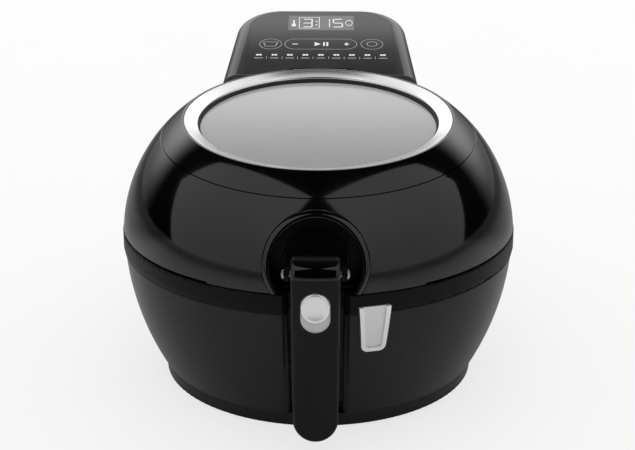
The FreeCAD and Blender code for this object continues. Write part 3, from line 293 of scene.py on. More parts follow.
@material("dark band moulding")
def band_black(s):
    grain = s.noise(1100.0, 2.0, 0.7)
    cloud = s.noise(16.0, 3.0)
    return {
        "Base Color": s.mix(cloud, grey(0.002, 0.06), grey(0.004, 0.06)),
        "Roughness": 0.30 + 0.10 * cloud + 0.05 * grain,
        "Specular IOR Level": 0.14,
        "Normal": s.bump(grain, 0.05, 0.0001),
    }


@material("soft grip moulding")
def soft_grip(s):
    grain = s.noise(1700.0, 2.0, 0.8)
    cloud = s.noise(18.0, 3.0)
    z = s.split(s.place())[2]
    # Above HANDLE_POLISH the grip is polished and its colour drops to the darkest black: partly a finish of
    # its own, partly painted shade on the top of the handle.
    matt = (z / MM).step(HANDLE_POLISH - 0.3, HANDLE_POLISH + 0.3, 1.0, 0.0)
    crest = (z / MM).step(HANDLE_CREST - 2.0, HANDLE_CREST)
    return {
        "Base Color": s.mix(cloud * matt, grey(0.0008, 0.05), grey(0.006, 0.05)),
        "Roughness": 0.05 + (0.20 + 0.06 * cloud + 0.04 * grain) * (matt + crest),
        "Specular IOR Level": 0.22,
        "Coat Weight": 0.9 - 0.9 * (matt + crest),
        "Coat Roughness": 0.04,
        "Normal": s.bump(grain * matt, 0.08, 0.0001),
    }


@material("bright ring plating")
def bright_ring(s):
    x, y, z = s.split(s.place())
    around = s.node("Math", {"operation": "ARCTAN2"}, {0: y - RING_Y * MM, 1: x}, 0)
    turned = s.node("CombineXYZ", {}, {0: around * 40.0, 1: z * 900.0, 2: 0.0}, 0)
    brushed = s.noise(3.0, 3.0, 0.6, turned)
    cloud = s.noise(20.0, 2.0)
    # Painted shading: the ring is less metallic on its rear flanks, a grade by position that stands in for
    # how the light falls there.
    rear = (y / MM - RING_Y).step(20.0, 80.0)
    flank = (x * x / (MM * MM)).step(20.0 ** 2, 60.0 ** 2)
    return {
        "Base Color": s.mix(brushed, grey(0.82, 0.02), grey(0.92, 0.02)),
        "Metallic": 1.0 - 0.8 * rear * flank,
        "Roughness": 0.10 + 0.08 * brushed + 0.04 * cloud,
    }


@material("smoked window")
def smoked_window(s):
    y = s.split(s.place())[1]
    # Painted light: the window's colour runs from dark at the front to light at the rear.
    fade = (y / MM - RING_Y).step(-WINDOW_RADIUS, WINDOW_RADIUS)
    haze = s.noise(30.0, 4.0, 0.6)
    shade = s.mix(fade, grey(0.135, 0.01), grey(0.45, 0.005))
    return {
        "Base Color": s.mix(haze * 0.12, shade, grey(0.6)),
        "Roughness": 0.10 + 0.08 * haze,
        "Coat Weight": 0.3,
        "Coat Roughness": 0.04,
    }


def deck_painted_light(s):
    """Painted light: the square of the share of the way up the sloping deck, fading below its upper edge,
    which makes the deck and fascia lighter towards the top.
    """
    y, z = s.split(s.place())[1:]
    run = y / MM - DECK_CENTRE.y
    depth = (z / MM - DECK_CENTRE.z) * math.cos(DECK_SLOPE) - run * math.sin(DECK_SLOPE)
    rise = run.step(0.0, DECK_LENGTH)
    return rise * rise * depth.step(*DECK_EDGE)


@material("deck moulding")
def deck_black(s):
    smudge = s.noise(14.0, 4.0, 0.6)
    # Painted light: the deck's grey rises towards its top, and the front of the deck ahead of DECK_FRONT
    # takes the lighter grey as well.
    front = (s.split(s.place())[1] / MM).step(DECK_FRONT + 0.3, DECK_FRONT + 1.3, 1.0, 0.0)
    return {
        "Base Color": s.mix(deck_painted_light(s) + front, grey(0.001, 0.1), grey(0.085, 0.02)),
        "Roughness": 0.12 + 0.08 * smudge.step(0.35, 0.75),
        "Specular IOR Level": 0.3,
        "Coat Weight": 0.08 + 0.08 * smudge,
        "Coat Roughness": 0.08,
    }


@material("printed fascia glass")
def fascia_glass(s):
    cloud = s.noise(22.0, 3.0, 0.6)
    # Painted light: the fascia's grey rises towards the top of the deck.
    return {
        "Base Color": s.mix(deck_painted_light(s) * (0.96 + 0.08 * cloud), grey(0.001, 0.1), grey(0.095, 0.02)),
        "Roughness": 0.10 + 0.08 * cloud.step(0.3, 0.8),
        "Specular IOR Level": 0.25,
        "Coat Weight": 0.1,
        "Coat Roughness": 0.06,
    }


@material("display lens")
def display_lens(s):
    cloud = s.noise(60.0, 3.0, 0.6)
    return {
        "Base Color": s.mix(cloud, grey(0.15, 0.05), grey(0.20, 0.05)),
        "Roughness": 0.16 + 0.1 * cloud,
        "Coat Weight": 0.3,
    }


@material("lit legend")
def lit_legend(s):
    glow = s.noise(300.0, 2.0)
    return {
        "Base Color": s.mix(glow, grey(0.52), grey(0.62)),
        "Roughness": 0.4 + 0.1 * glow,
        "Emission Color": s.mix(glow, grey(0.85), grey(1.0)),
        "Emission Strength": 0.34,
    }


@material("printed legend")
def printed_legend(s):
    wear = s.noise(260.0, 3.0)
    return {
        "Base Color": s.mix(wear, grey(0.42), grey(0.58)),
        "Roughness": 0.35 + 0.15 * wear,
    }


@material("silver lacquer")
def silver_lacquer(s):
    flake = s.node("TexVoronoi", {}, {"Vector": s.place(), "Scale": 3800.0}, "Color")
    fleck = s.split(flake)[0]
    cloud = s.noise(60.0, 3.0)
    return {
        "Base Color": s.mix(fleck, grey(0.74, 0.02), grey(0.80, 0.02)),
        "Metallic": 0.62 + 0.06 * fleck,
        "Roughness": 0.20 + 0.08 * cloud,
        "Coat Weight": 0.3 + 0.1 * cloud,
        "Coat Roughness": 0.1,
    }


# Polished silver for the thumb button; on the latch's rim and edges its brighter tone is partly a painted
# highlight.
@material("polished silver and painted highlight")
def polished_silver_and_highlight(s):
    cloud = s.noise(80.0, 3.0)
    return {
        "Base Color": s.mix(cloud, grey(0.90, 0.02), grey(0.96, 0.02)),
        "Metallic": 0.66 + 0.08 * cloud,
        "Roughness": 0.18 + 0.08 * cloud,
    }


# Painted shade, with a duller finish: the recess and the collar's walls reflect much less than the gloss
# black around them, to stand for the shade inside the recess.
@material("recess moulding")
def recess_moulding(s):
    grain = s.noise(900.0, 2.0)
    cloud = s.noise(24.0, 3.0)
    return {
        "Base Color": s.mix(cloud, grey(0.0008, 0.05), grey(0.0016, 0.05)),
        "Roughness": 0.30 + 0.10 * cloud + 0.05 * grain,
        "Specular IOR Level": 0.12,
    }


@material("satin inner moulding")
def satin_inner(s):
    grain = s.noise(900.0, 2.0)
    cloud = s.noise(24.0, 3.0)
    return {
        "Base Color": s.mix(cloud, grey(0.0016, 0.05), grey(0.003, 0.05)),
        "Roughness": 0.26 + 0.10 * cloud + 0.05 * grain,
        "Specular IOR Level": 0.12,
    }


@material("light grey moulding")
def grey_moulding(s):
    grain = s.noise(1500.0, 2.0, 0.7)
    cloud = s.noise(40.0, 3.0)
    return {
        "Base Color": s.mix(cloud, grey(0.40, 0.02), grey(0.50, 0.02)),
        "Roughness": 0.42 + 0.1 * grain,
        "Normal": s.bump(grain, 0.06, 0.0001),
    }


@material("non-stick coating")
def pan_coating(s):
    speck = s.node("TexVoronoi", {}, {"Vector": s.place(), "Scale": 700.0}, "Distance")
    dots = speck.step(0.10, 0.16, 1.0, 0.0)
    cloud = s.noise(25.0, 3.0)
    return {
        "Base Color": s.mix(dots * cloud, grey(0.018, 0.03), grey(0.16, 0.02)),
        "Roughness": 0.32 + 0.14 * cloud,
        "Normal": s.bump(cloud, 0.04, 0.0004),
    }


@material("brushed steel")
def brushed_steel(s):
    x, y, z = s.split(s.place())
    drawn = s.node("CombineXYZ", {}, {0: x * 60.0, 1: y * 60.0, 2: z * 1600.0}, 0)
    lines = s.noise(2.0, 3.0, 0.6, drawn)
    return {
        "Base Color": s.mix(lines, grey(0.46, 0.02), grey(0.62, 0.02)),
        "Metallic": 1.0,
        "Roughness": 0.26 + 0.16 * lines,
    }


@material("black silicone")
def silicone(s):
    grain = s.noise(900.0, 2.0)
    return {
        "Base Color": s.mix(grain, grey(0.010), grey(0.018)),
        "Roughness": 0.55 + 0.2 * grain,
        "Normal": s.bump(grain, 0.06, 0.0001),
    }


@material("circuit board")
def circuit_board(s):
    spots = {"Vector": s.place(), "Scale": 260.0}
    cells = s.node("TexVoronoi", {"distance": "MANHATTAN"}, spots, "Distance")
    return {
        "Base Color": s.mix(cells.step(0.2, 0.3), (0.30, 0.24, 0.08, 1), (0.012, 0.09, 0.035, 1)),
        "Roughness": 0.3 + 0.2 * cells,
    }


@material("dark inner moulding")
def inner_moulding(s):
    grain = s.noise(800.0, 2.0)
    cloud = s.noise(20.0, 3.0)
    return {
        "Base Color": s.mix(cloud, grey(0.035, 0.03), grey(0.055, 0.03)),
        "Roughness": 0.45 + 0.2 * grain,
        "Normal": s.bump(grain, 0.08, 0.0001),
    }


LOOKS = {
    "gloss black moulding": ["lid_shell", "lid_crown", "air_cowl"],
    "deck moulding": ["control_deck"],
    "satin black moulding": ["plinth", "base_housing", "rear_housing"],
    "dark band moulding": ["rim_band"],
    "recess moulding": ["lid_collar", "lid_recess"],
    "soft grip moulding": ["handle_front", "handle_back"],
    "satin inner moulding": ["pan_bracket"],
    "bright ring plating": ["lid_ring"],
    "smoked window": ["lid_window"],
    "printed fascia glass": ["control_fascia"],
    "display lens": ["display_lens"],
    "silver lacquer": ["latch_button", "paddle_knob"],
    "polished silver and painted highlight": ["handle_button"],
    "light grey moulding": ["button_track"],
    "non-stick coating": ["pan"],
    "brushed steel": [
        "pan_well", "bracket_rivets", "bottom_screws", "drive_spindle", "gear_motor", "heat_probe",
        "lid_catch", "outlet_grille", "heater", "fan_motor", "hinge_bracket", "hinge_pin", "latch_hook",
        "latch_spring", "handle_screws", "handle_pin", "lock_pawl", "button_spring"],
    "black silicone": ["rubber_feet", "spindle_seal", "window_gasket", "lid_seal", "cord_gland"],
    "circuit board": ["control_board", "power_board"],
    "dark inner moulding": [
        "bottom_plate", "paddle", "lid_liner", "lid_hinge_lugs", "display_module", "board_posts",
        "fan_housing", "fan_wheel"],
}
LOOK_OF = {name: look for look, names in LOOKS.items() for name in names}


def arc_centre(low, high, radius):
    """Centre of the arc between two profile points, on the axis side."""
    span = math.dist(low, high)
    rise = math.sqrt(radius * radius - span * span / 4)
    return (
        (low[0] + high[0]) / 2 - (high[1] - low[1]) / span * rise,
        (low[1] + high[1]) / 2 + (high[0] - low[0]) / span * rise,
    )


LID_CENTRE = arc_centre(LID_LOW, LID_HIGH, LID_ARC)
BASE_CENTRE = arc_centre(BASE_LOW, BASE_HIGH, BASE_ARC)


def onto_arc(centre, radii, near=0.15):
    """A rule that moves a point lying near a turned arc exactly onto it."""
    def rule(point):
        x, y, z = point.x / MM, point.y / MM - BODY_Y, point.z / MM
        flat = math.hypot(x, y)
        if flat < 1:
            return point
        reach = math.hypot(flat - centre[0], z - centre[1])
        for radius in radii:
            if abs(reach - radius) < near:
                grow = radius / reach
                wide = centre[0] + (flat - centre[0]) * grow
                high = centre[1] + (z - centre[1]) * grow
                return Vector((x * wide / flat, y * wide / flat + BODY_Y, high)) * MM
        return point
    return rule


def under_arc(centre, limit):
    """A rule that brings a point outside a turned arc back onto it."""
    def rule(point):
        x, y, z = point.x / MM, point.y / MM - BODY_Y, point.z / MM
        flat = math.hypot(x, y)
        if math.hypot(flat - centre[0], z - centre[1]) < limit:
            return point
        wide = centre[0] + math.sqrt(limit ** 2 - (z - centre[1]) ** 2)
        return Vector((x, -math.sqrt(wide ** 2 - x ** 2) + BODY_Y, z)) * MM
    return rule


def onto_knuckle(point):
    """Move a point near the round top of the handle exactly onto it."""
    y, z = point.y / MM - BODY_Y - PIN_Y, point.z / MM - PIN_HEIGHT
    reach = math.hypot(y, z)
    if z < 0 or abs(reach - KNUCKLE) > 0.2:
        return point
    grow = KNUCKLE / reach
    return Vector((point.x, (y * grow + PIN_Y + BODY_Y) * MM, (z * grow + PIN_HEIGHT) * MM))


def crowned(point):
    """Give the handle's front a slight crown across its width."""
    ahead = (PIN_Y + BODY_Y - point.y / MM) / KNUCKLE
    back = HANDLE_CROWN * (point.x / MM / HANDLE_HALF) ** 2 * max(ahead, 0.0)
    return Vector((point.x, point.y + back * MM, point.z))


def onto_round(radii, near=0.6):
    """A rule that moves a point lying near an upright cylinder exactly onto it."""
    def rule(point):
        x, y = point.x / MM, point.y / MM - BODY_Y
        flat = math.hypot(x, y)
        for radius in radii:
            if abs(flat - radius) < near:
                return Vector((x * radius / flat * MM, (y * radius / flat + BODY_Y) * MM, point.z))
        return point
    return rule


def look(obj, name, body, slot):
    """Give a new piece its material and the body it moves with; slot is not used."""
    obj.data.materials.clear()
    obj.data.materials.append(MATERIALS[name])
    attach(obj, body)


BODY_OF = {name: body for body, names in frame["record"]["behaviour"]["bodies"].items() for name in names}
SLOT_OF = {item["node"]: item["material_slot"] for item in frame["record"]["subparts"]}


def new_object(name, mesh):
    """An object in the scene with the given mesh."""
    made = bpy.data.objects.new(name, mesh)
    bpy.context.scene.collection.objects.link(made)
    return made


def stand_in(obj, node):
    """Let a finer mesh stand for a CAD node."""
    look(obj, LOOK_OF[node], BODY_OF[node], SLOT_OF[node])
    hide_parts(node)
    return obj


def fine(node, longest, rules, bevel=0.0):
    """A finer copy of a CAD node, with its curved faces brought back onto the true shape."""
    mesh = frame["nodes"][node].data.copy()
    work = bmesh.new()
    work.from_mesh(mesh)
    bmesh.ops.remove_doubles(work, verts=work.verts, dist=MERGE_CAD)
    for _ in range(SPLIT_ROUNDS):
        edges = [edge for edge in work.edges if edge.calc_length() > longest * MM]
        if not edges:
            break
        bmesh.ops.subdivide_edges(work, edges=edges, cuts=1)
        bmesh.ops.triangulate(work, faces=[face for face in work.faces if len(face.verts) > 3])
    for vert in work.verts:
        for rule in rules:
            vert.co = rule(vert.co)
    for face in work.faces:
        face.smooth = True
    for edge in work.edges:
        edge.smooth = edge.is_manifold and edge.calc_face_angle(0.0) < SHARP_CAD
    work.to_mesh(mesh)
    work.free()
    obj = new_object(node + "_finish", mesh)
    if bevel:
        soften = obj.modifiers.new("soft edges", "BEVEL")
        soften.width = bevel * MM
        soften.segments = BEVEL_STEPS
        soften.limit_method = "ANGLE"
        soften.angle_limit = BEVEL_ANGLE
        soften.use_clamp_overlap = True
    return stand_in(obj, node)


def smooth_object(name, verts, faces, sharp):
    """An object with smooth faces, whose edges past an angle stay sharp."""
    mesh = bpy.data.meshes.new(name)
    mesh.from_pydata(verts, [], faces)
    mesh.validate()
    work = bmesh.new()
    work.from_mesh(mesh)
    bmesh.ops.remove_doubles(work, verts=work.verts, dist=MERGE)
    bmesh.ops.recalc_face_normals(work, faces=work.faces)
    for face in work.faces:
        face.smooth = True
    for edge in work.edges:
        edge.smooth = edge.calc_face_angle(0.0) < sharp
    work.to_mesh(mesh)
    work.free()
    return new_object(name, mesh)


def lathe(name, profile, segments, turn):
    """A closed ring mesh turned from (radius, height) points, then placed with a matrix."""
    verts = []
    faces = []
    count = len(profile)
    for step in range(segments):
        angle = 2 * math.pi * step / segments
        for radius, height in profile:
            verts.append(turn @ Vector((radius * math.cos(angle), radius * math.sin(angle), height)) * MM)
    for step in range(segments):
        following = (step + 1) % segments
        for index in range(count):
            after = (index + 1) % count
            faces.append((step * count + index, following * count + index,
                          following * count + after, step * count + after))
    return smooth_object(name, verts, faces, SHARP_TURNED)


def rounded_profile(points, radius, steps=4):
    """Round the corners of a closed profile."""
    result = []
    count = len(points)
    for index in range(count):
        here = Vector(points[index])
        back = Vector(points[index - 1]) - here
        on = Vector(points[(index + 1) % count]) - here
        size = min(radius, back.length * 0.45, on.length * 0.45)
        start = here + back.normalized() * size
        end = here + on.normalized() * size
        for step in range(steps + 1):
            part = step / steps
            result.append(tuple(start.lerp(here, part).lerp(here.lerp(end, part), part)))
    return result


RING_PLACE = Matrix.Translation(RING_CENTRE) @ Matrix.Rotation(LID_TILT, 4, "X")
DECK_PLACE = Matrix.Translation(DECK_CENTRE) @ Matrix.Rotation(DECK_SLOPE, 4, "X")


def make_lid():
    """Finer dome, collar, ring, gasket and window."""
    dome = onto_arc(LID_CENTRE, (LID_ARC, LID_ARC - LID_WALL))
    fine("lid_shell", 5.0, [dome])
    fine("lid_crown", 5.0, [dome])
    fine("air_cowl", 6.0, [dome])
    fine("lid_collar", 3.0, [under_arc(LID_CENTRE, LID_ARC - COLLAR_ROOT - COLLAR_CLEAR)])
    make_collar_bead()
    ring = rounded_profile(RING_PROFILE, RING_ROUND)
    stand_in(lathe("lid_ring_finish", ring, RING_SEGMENTS, RING_PLACE), "lid_ring")
    gasket = rounded_profile(GASKET_PROFILE, GASKET_ROUND)
    stand_in(lathe("gasket_finish", gasket, RING_SEGMENTS, RING_PLACE), "window_gasket")
    stand_in(lathe("window_finish", WINDOW_PROFILE, RING_SEGMENTS, RING_PLACE), "lid_window")


def dome_point(x, z, lift):
    """A point in front of the lid's dome, lifted along its normal."""
    flat = LID_CENTRE[0] + math.sqrt((LID_ARC + lift) ** 2 - (z - LID_CENTRE[1]) ** 2)
    return Vector((x, BODY_Y - math.sqrt(flat ** 2 - x ** 2), z)) * MM


def grid_mesh(name, columns, closed=False):
    """A mesh from columns of points; open ends are capped."""
    count = len(columns[0])
    verts = [point for column in columns for point in column]
    faces = []
    for step in range(len(columns) if closed else len(columns) - 1):
        here = step * count
        following = (step + 1) % len(columns) * count
        for index in range(count - 1):
            faces.append((here + index, following + index, following + index + 1, here + index + 1))
    if not closed:
        faces += [tuple(range(count)), tuple(range(len(verts) - count, len(verts)))]
    return smooth_object(name, verts, faces, SHARP_GRID)


def make_collar_bead(columns=192, steps=14):
    """The rounded front of the collar, which follows the dome around the handle's recess."""
    points = []
    for column in range(columns + 1):
        share = 2 * column / columns - 1
        points.append([])
        for step in range(steps + 1):
            around = math.pi * step / steps
            radius = COLLAR_MIDDLE + COLLAR_HALF * math.cos(around)
            angle = share * math.acos((COLLAR_END - COLLAR_HEIGHT) / radius)
            lift = (COLLAR_PROUD + COLLAR_ROOT) * math.sin(around) - COLLAR_ROOT
            points[-1].append(dome_point(
                radius * math.sin(angle), COLLAR_HEIGHT + radius * math.cos(angle), lift))
    look(grid_mesh("collar_bead", points), "gloss black moulding", "lid", SLOT_OF["lid_collar"])


def make_thumb(columns=96):
    """The thumb button with its raised rim and hollowed face."""
    front = PIN_Y - KNUCKLE + BODY_Y
    profile = list(THUMB_RIM)
    for step in range(1, THUMB_DISH_STEPS + 1):
        inward = 1 - step / THUMB_DISH_STEPS
        hollow = THUMB_DISH_DROP + THUMB_DISH * (1 - inward ** 2)
        profile.append((THUMB_DISH_SHARE * inward, THUMB_PROUD - hollow))
    points = []
    for column in range(columns):
        angle = 2 * math.pi * (column + 0.5) / columns
        rise = math.copysign(THUMB_STRETCH, math.sin(angle))
        points.append([])
        for share, proud in profile:
            x = share * THUMB_RADIUS * math.cos(angle)
            z = THUMB_HEIGHT + share * (THUMB_RADIUS * math.sin(angle) + rise)
            points[-1].append(Vector((x, front - proud, z)) * MM)
    stand_in(grid_mesh("thumb_finish", points, True), "handle_button")


def make_latch():
    """The release button, with a bright rim around its hollowed face: the rim and the bevelled edges take
    the brighter polished silver, partly a finish of their own and partly a painted highlight.
    """
    latch = fine("latch_button", 2.0, [], bevel=0.9)
    latch.data.materials.append(MATERIALS["polished silver and painted highlight"])
    latch.modifiers[0].material = 1
    for face in latch.data.polygons:
        x, y, z = face.center / MM
        skin = BASE_HIGH[0]
        if z < BASE_HIGH[1]:
            skin = BASE_CENTRE[0] + math.sqrt(BASE_ARC ** 2 - (z - BASE_CENTRE[1]) ** 2)
        if math.hypot(x, y - BODY_Y) - skin > LATCH_RIM:
            face.material_index = 1


def make_pivot_caps():
    """Domed heads on the ends of the handle's pin."""
    profile = rounded_profile(CAP_PROFILE, CAP_ROUND)
    caps = []
    for side in (-1, 1):
        place = Matrix.Translation(Vector((side * CAP_SIDE, PIN_Y + BODY_Y, PIN_HEIGHT)))
        turn = Matrix.Rotation(side * math.pi / 2, 4, "Y")
        caps.append(lathe("cap", profile, CAP_SEGMENTS, place @ turn))
    look(join("pivot_caps", caps), "brushed steel", "base", SLOT_OF["handle_pin"])


def make_springs():
    """Coil springs copied from their CAD meshes; their length along the joint's axis is measured, but
    nothing makes them shorten.
    """
    joints = {joint["name"]: joint for joint in frame["record"]["behaviour"]["joints"]}
    for node, name in (("latch_spring", "release_press"), ("button_spring", "thumb_slide")):
        mesh = frame["nodes"][node].data.copy()
        obj = stand_in(new_object(node + "_finish", mesh), node)
        axis = Vector(joints[name]["axis"])
        along = [vert.co.dot(axis) for vert in mesh.vertices]
        long = max(along) - min(along)
        0.98 - joints[name]["range_m"][1] / long
        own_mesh(obj)


def make_base():
    """Finer housings and band, the handle, its buttons and their springs."""
    belly = onto_arc(BASE_CENTRE, (BASE_ARC,))
    inner = onto_arc((BASE_CENTRE[0] - BASE_WALL, BASE_CENTRE[1]), (BASE_ARC,))
    fine("base_housing", 5.0, [belly, inner], bevel=0.5)
    fine("rim_band", 4.0, [onto_round(BAND_RADII)], bevel=0.5)
    fine("plinth", 6.0, [onto_round(PLINTH_RADII)], bevel=0.4)
    fine("rear_housing", 9.0, [], bevel=0.4)
    fine("control_deck", 6.0, [], bevel=0.4)
    fine("handle_front", 2.0, [onto_knuckle, crowned], bevel=0.4)
    fine("handle_back", 5.0, [], bevel=0.8)
    make_latch()
    make_pivot_caps()
    make_springs()
    make_thumb()


def flat_shape(name, points):
    """A thin legend on the fascia from (x, along the slope) points in millimetres."""
    mesh = bpy.data.meshes.new(name)
    placed = [DECK_PLACE @ Vector((x, v, LEGEND_LIFT)) * MM for x, v in points]
    mesh.from_pydata(placed, [], [tuple(range(len(points)))])
    return new_object(name, mesh)


def join(name, objects):
    """One object from the meshes of several, which are removed."""
    work = bmesh.new()
    for obj in objects:
        work.from_mesh(obj.data)
    mesh = bpy.data.meshes.new(name)
    bmesh.ops.recalc_face_normals(work, faces=work.faces)
    work.to_mesh(mesh)
    work.free()
    for obj in objects:
        bpy.data.objects.remove(obj)
    return new_object(name, mesh)


def bar(x0, v0, x1, v1):
    """A filled rectangle between two corners."""
    return flat_shape("bar", [(x0, v0), (x1, v0), (x1, v1), (x0, v1)])


SEGMENTS = {
    "a": (0.12, 0.90, 0.88, 1.0), "b": (0.86, 0.52, 1.0, 0.96), "c": (0.86, 0.04, 1.0, 0.48),
    "d": (0.12, 0.0, 0.88, 0.10), "f": (0.0, 0.52, 0.14, 0.96), "g": (0.12, 0.45, 0.88, 0.55),
}
DIGITS = {"1": "bc", "3": "abcdg", "5": "acdfg"}


def digit(which, x, wide):
    """The lit bars of one digit on the display, from its left side."""
    bars = []
    for segment in DIGITS[which]:
        x0, v0, x1, v1 = SEGMENTS[segment]
        bars.append(bar(
            x + x0 * wide, DIGIT_ROW + v0 * DIGIT_TALL, x + x1 * wide, DIGIT_ROW + v1 * DIGIT_TALL))
    return bars


def frame_line(points, width):
    """A closed outline as thin quads."""
    made = []
    count = len(points)
    for index in range(count):
        a = Vector(points[index])
        b = Vector(points[(index + 1) % count])
        side = Vector((a.y - b.y, b.x - a.x)).normalized() * width / 2
        corners = (a + side, a - side, b - side, b + side)
        made.append(flat_shape("line", [tuple(corner) for corner in corners]))
    return made


def pill(x0, v0, x1, v1, steps=16):
    """Outline with round ends."""
    radius = (v1 - v0) / 2
    points = []
    for centre, start in ((x1 - radius, -90), (x0 + radius, 90)):
        for step in range(steps + 1):
            angle = math.radians(start + 180 * step / steps)
            points.append((centre + radius * math.cos(angle), v0 + radius + radius * math.sin(angle)))
    return points


def make_display():
    """Lit numbers and marks on the display: thermometer, framed level, minutes and a dial."""
    lit = digit("3", -19.0, 10.5)
    lit += digit("1", 0.5, 8.5) + digit("5", 11.5, 10.5)
    lit += [bar(-5.6, 92, -4.0, 94.5), bar(-5.6, 100, -4.0, 102.5)]
    lit += frame_line([(-22, 86), (-2, 86), (-2, 110), (-22, 110)], 0.8)
    lit += [bar(-29.5, 90, -25.5, 96), bar(-28.3, 96, -26.7, 104)]
    lit += frame_line(pill(24.5, 92, 31.5, 104), SIGN_LINE)
    look(join("display_digits", lit), "lit legend", "base", "fascia_glass")


def make_outlines():
    """Printed lines: the three keys, the row of programmes, and the bowl and dial signs."""
    low, high = KEY_ROW
    drawn = []
    for left, right in ((-35.5, 35.5), (-60.2, -38.6), (39.6, 61.2)):
        drawn += frame_line(pill(left, low, right, high), KEY_LINE)
    for index in range(SIGN_COUNT - 1):
        middle = -52.4 + SIGN_PITCH * index
        drawn.append(bar(middle - 0.25, 20.5, middle + 0.25, 25.5))
    for index in range(SIGN_COUNT):
        middle = SIGN_FIRST + SIGN_PITCH * index
        drawn.append(bar(middle - 4.2, 21.8, middle + 4.2, 22.9))
    drawn += frame_line([(-54.5, 47), (-44.5, 47), (-42.5, 56), (-56.5, 56)], SIGN_LINE)
    drawn += frame_line(pill(45.5, 47.5, 55.5, 57.0), SIGN_LINE)
    look(join("printed_outlines", drawn), "printed legend", "base", "fascia_glass")


def make_signs():
    """Solid signs: minus, plus, play, pause and a pair of blocks for each programme."""
    signs = [bar(-28, 51.0, -22.5, 52.6)]
    signs += [bar(23.0, 51.0, 28.0, 52.6), bar(24.8, 48.8, 26.2, 54.8)]
    signs += [flat_shape("play", [(-6, 47.6), (0.0, 51.8), (-6, 56.0)])]
    signs += [bar(2.4, 47.8, 4.2, 55.8), bar(5.6, 47.8, 7.4, 55.8)]
    for index in range(SIGN_COUNT):
        middle = SIGN_FIRST + SIGN_PITCH * index
        signs.append(bar(middle - 2.7, 27.4, middle - 0.2, 30.4))
        signs.append(bar(middle + 0.2, 27.4, middle + 2.7, 30.4))
    look(join("printed_signs", signs), "lit legend", "base", "fascia_glass")


def make_camera():
    """The view of the photo."""
    camera = bpy.data.cameras.new("photo view")
    camera.sensor_width = SENSOR_WIDTH
    camera.lens = CAMERA_FOCUS * SENSOR_WIDTH / PHOTO_WIDTH
    camera.shift_x = CAMERA_SHIFT / PHOTO_WIDTH
    camera.clip_end = 50.0
    camera.dof.use_dof = False
    obj = bpy.data.objects.new("photo view", camera)
    away = Vector((math.sin(CAMERA_YAW), -math.cos(CAMERA_YAW), 0)) * CAMERA_AWAY
    obj.location = (away + Vector((0, BODY_Y, CAMERA_HEIGHT))) * MM
    obj.rotation_euler = (math.pi / 2 - CAMERA_DIP, 0, CAMERA_YAW)
    bpy.context.scene.collection.objects.link(obj)
    bpy.context.scene.camera = obj


def glow(name, strength):
    """A light material that is brighter towards the top of the panel."""
    made, shade = new_shade(name)
    height = shade.split(shade.place())[2]
    tone = shade.mix(height.step(0.1, 1.7), grey(0.78), grey(1.12))
    light = shade.node("Emission", {}, {"Color": tone, "Strength": strength}, 0)
    shade.end("Material", light)
    return made


def sky_panel(name, corners, strength):
    """A flat light given by (azimuth from the front, elevation) corners seen from the object."""
    middle = Vector((0, BODY_Y, PANEL_AIM)) * MM
    points = []
    for azimuth, elevation in corners:
        a, e = math.radians(azimuth), math.radians(elevation)
        towards = Vector((math.sin(a) * math.cos(e), -math.cos(a) * math.cos(e), math.sin(e)))
        points.append(middle + towards * PANEL_REACH)
    mesh = bpy.data.meshes.new(name)
    mesh.from_pydata(points, [], [tuple(range(len(points)))])
    panel = new_object(name, mesh)
    panel.data.materials.append(glow(name + " light", strength))
    panel.visible_camera = False


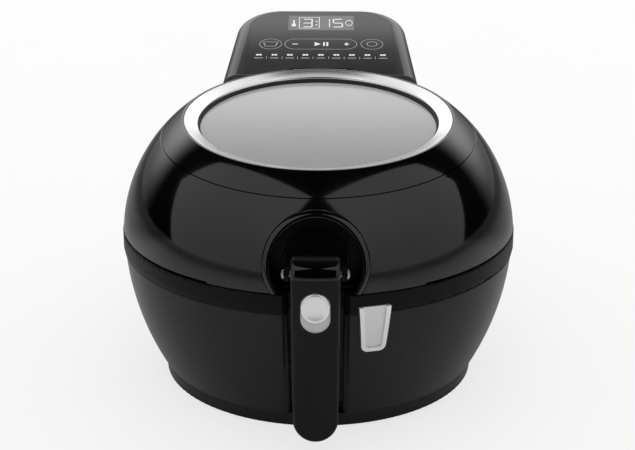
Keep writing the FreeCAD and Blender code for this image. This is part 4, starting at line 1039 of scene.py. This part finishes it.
def floor_paper():
    """White paper to the eye, which mirrors in the part as a floor that darkens with distance."""
    made, shade = new_shade("floor paper")
    fibre = shade.noise(6.0, 2.0)
    paper = shade.node("BsdfDiffuse", {}, {"Color": shade.mix(fibre, grey(0.90), grey(0.92))}, 0)
    lit = shade.node("Emission", {}, {"Color": shade.mix(fibre, grey(0.99), grey(1.0)), "Strength": 1.0}, 0)
    x, y, _ = shade.split(shade.place())
    away = ((x * x + y * y) ** 0.5).step(0.5, 2.0)
    behind = y.step(0.05, 0.40, 1.0, 0.45)
    tone = shade.mix(away, grey(0.62), grey(0.22))
    dark = shade.node("BsdfDiffuse", {}, {"Color": shade.mix(behind, grey(0.0), tone)}, 0)
    seen = shade.node("LightPath", {}, {}, "Is Camera Ray")
    glossy = shade.node("LightPath", {}, {}, "Is Glossy Ray")
    bright = shade.node("MixShader", {}, {0: seen * FLOOR_GLOW, 1: paper, 2: lit}, 0)
    shade.end("Material", shade.node("MixShader", {}, {0: glossy, 1: bright, 2: dark}, 0))
    return made


def make_floor():
    """A wide round floor under the part."""
    mesh = bpy.data.meshes.new("floor")
    work = bmesh.new()
    bmesh.ops.create_circle(work, cap_ends=True, segments=96, radius=FLOOR_RADIUS)
    work.to_mesh(mesh)
    work.free()
    floor = new_object("floor", mesh)
    floor.data.materials.append(floor_paper())


def make_sky():
    """Plain white to the eye; in mirrored light, dark ahead and graded behind and overhead."""
    world = bpy.data.worlds.new("studio")
    bpy.context.scene.world = world
    world.use_nodes = True
    tree = Shade(world.node_tree)
    x, y, z = tree.split(tree.node("TexCoord", {}, {}, "Generated"))
    fade = z.step(0.625, 0.668, 0.82, 0.10)
    aside = (x * x).step(0.004, 0.02)
    level = z.step(0.0, 0.42, 0.25, 1.4) * (fade + aside * (1.0 - fade))
    overhead = z.step(0.82, 0.89) * y.step(0.30, 0.42) * y.step(0.50, 0.60, 0.6, 0.0) * (1.0 + aside)
    mirrored = y.step(0.42, 0.74, 0.006, 1.0) * level + overhead
    seen = tree.node("LightPath", {}, {}, "Is Camera Ray")
    glossy = tree.node("LightPath", {}, {}, "Is Glossy Ray")
    plain = seen + (1.0 - seen) * SKY_FILL
    strength = plain * (1.0 - glossy) + mirrored * glossy
    tree.end("World", tree.node("Background", {}, {"Color": strength, "Strength": 1.0}, 0))


def make_stage():
    """Floor, light panels and sky around the part."""
    bpy.context.scene.view_settings.view_transform = "Standard"
    make_floor()
    sky_panel("left panel", PANEL_CORNERS, PANEL_LEFT)
    across = [(-azimuth, elevation) for azimuth, elevation in reversed(PANEL_CORNERS)]
    sky_panel("right panel", across, PANEL_RIGHT)
    make_sky()


for node_name, obj in frame["nodes"].items():
    obj.data.materials.clear()
    obj.data.materials.append(MATERIALS[LOOK_OF[node_name]])

make_lid()
make_base()
make_display()
make_outlines()
make_signs()
make_camera()
make_stage()
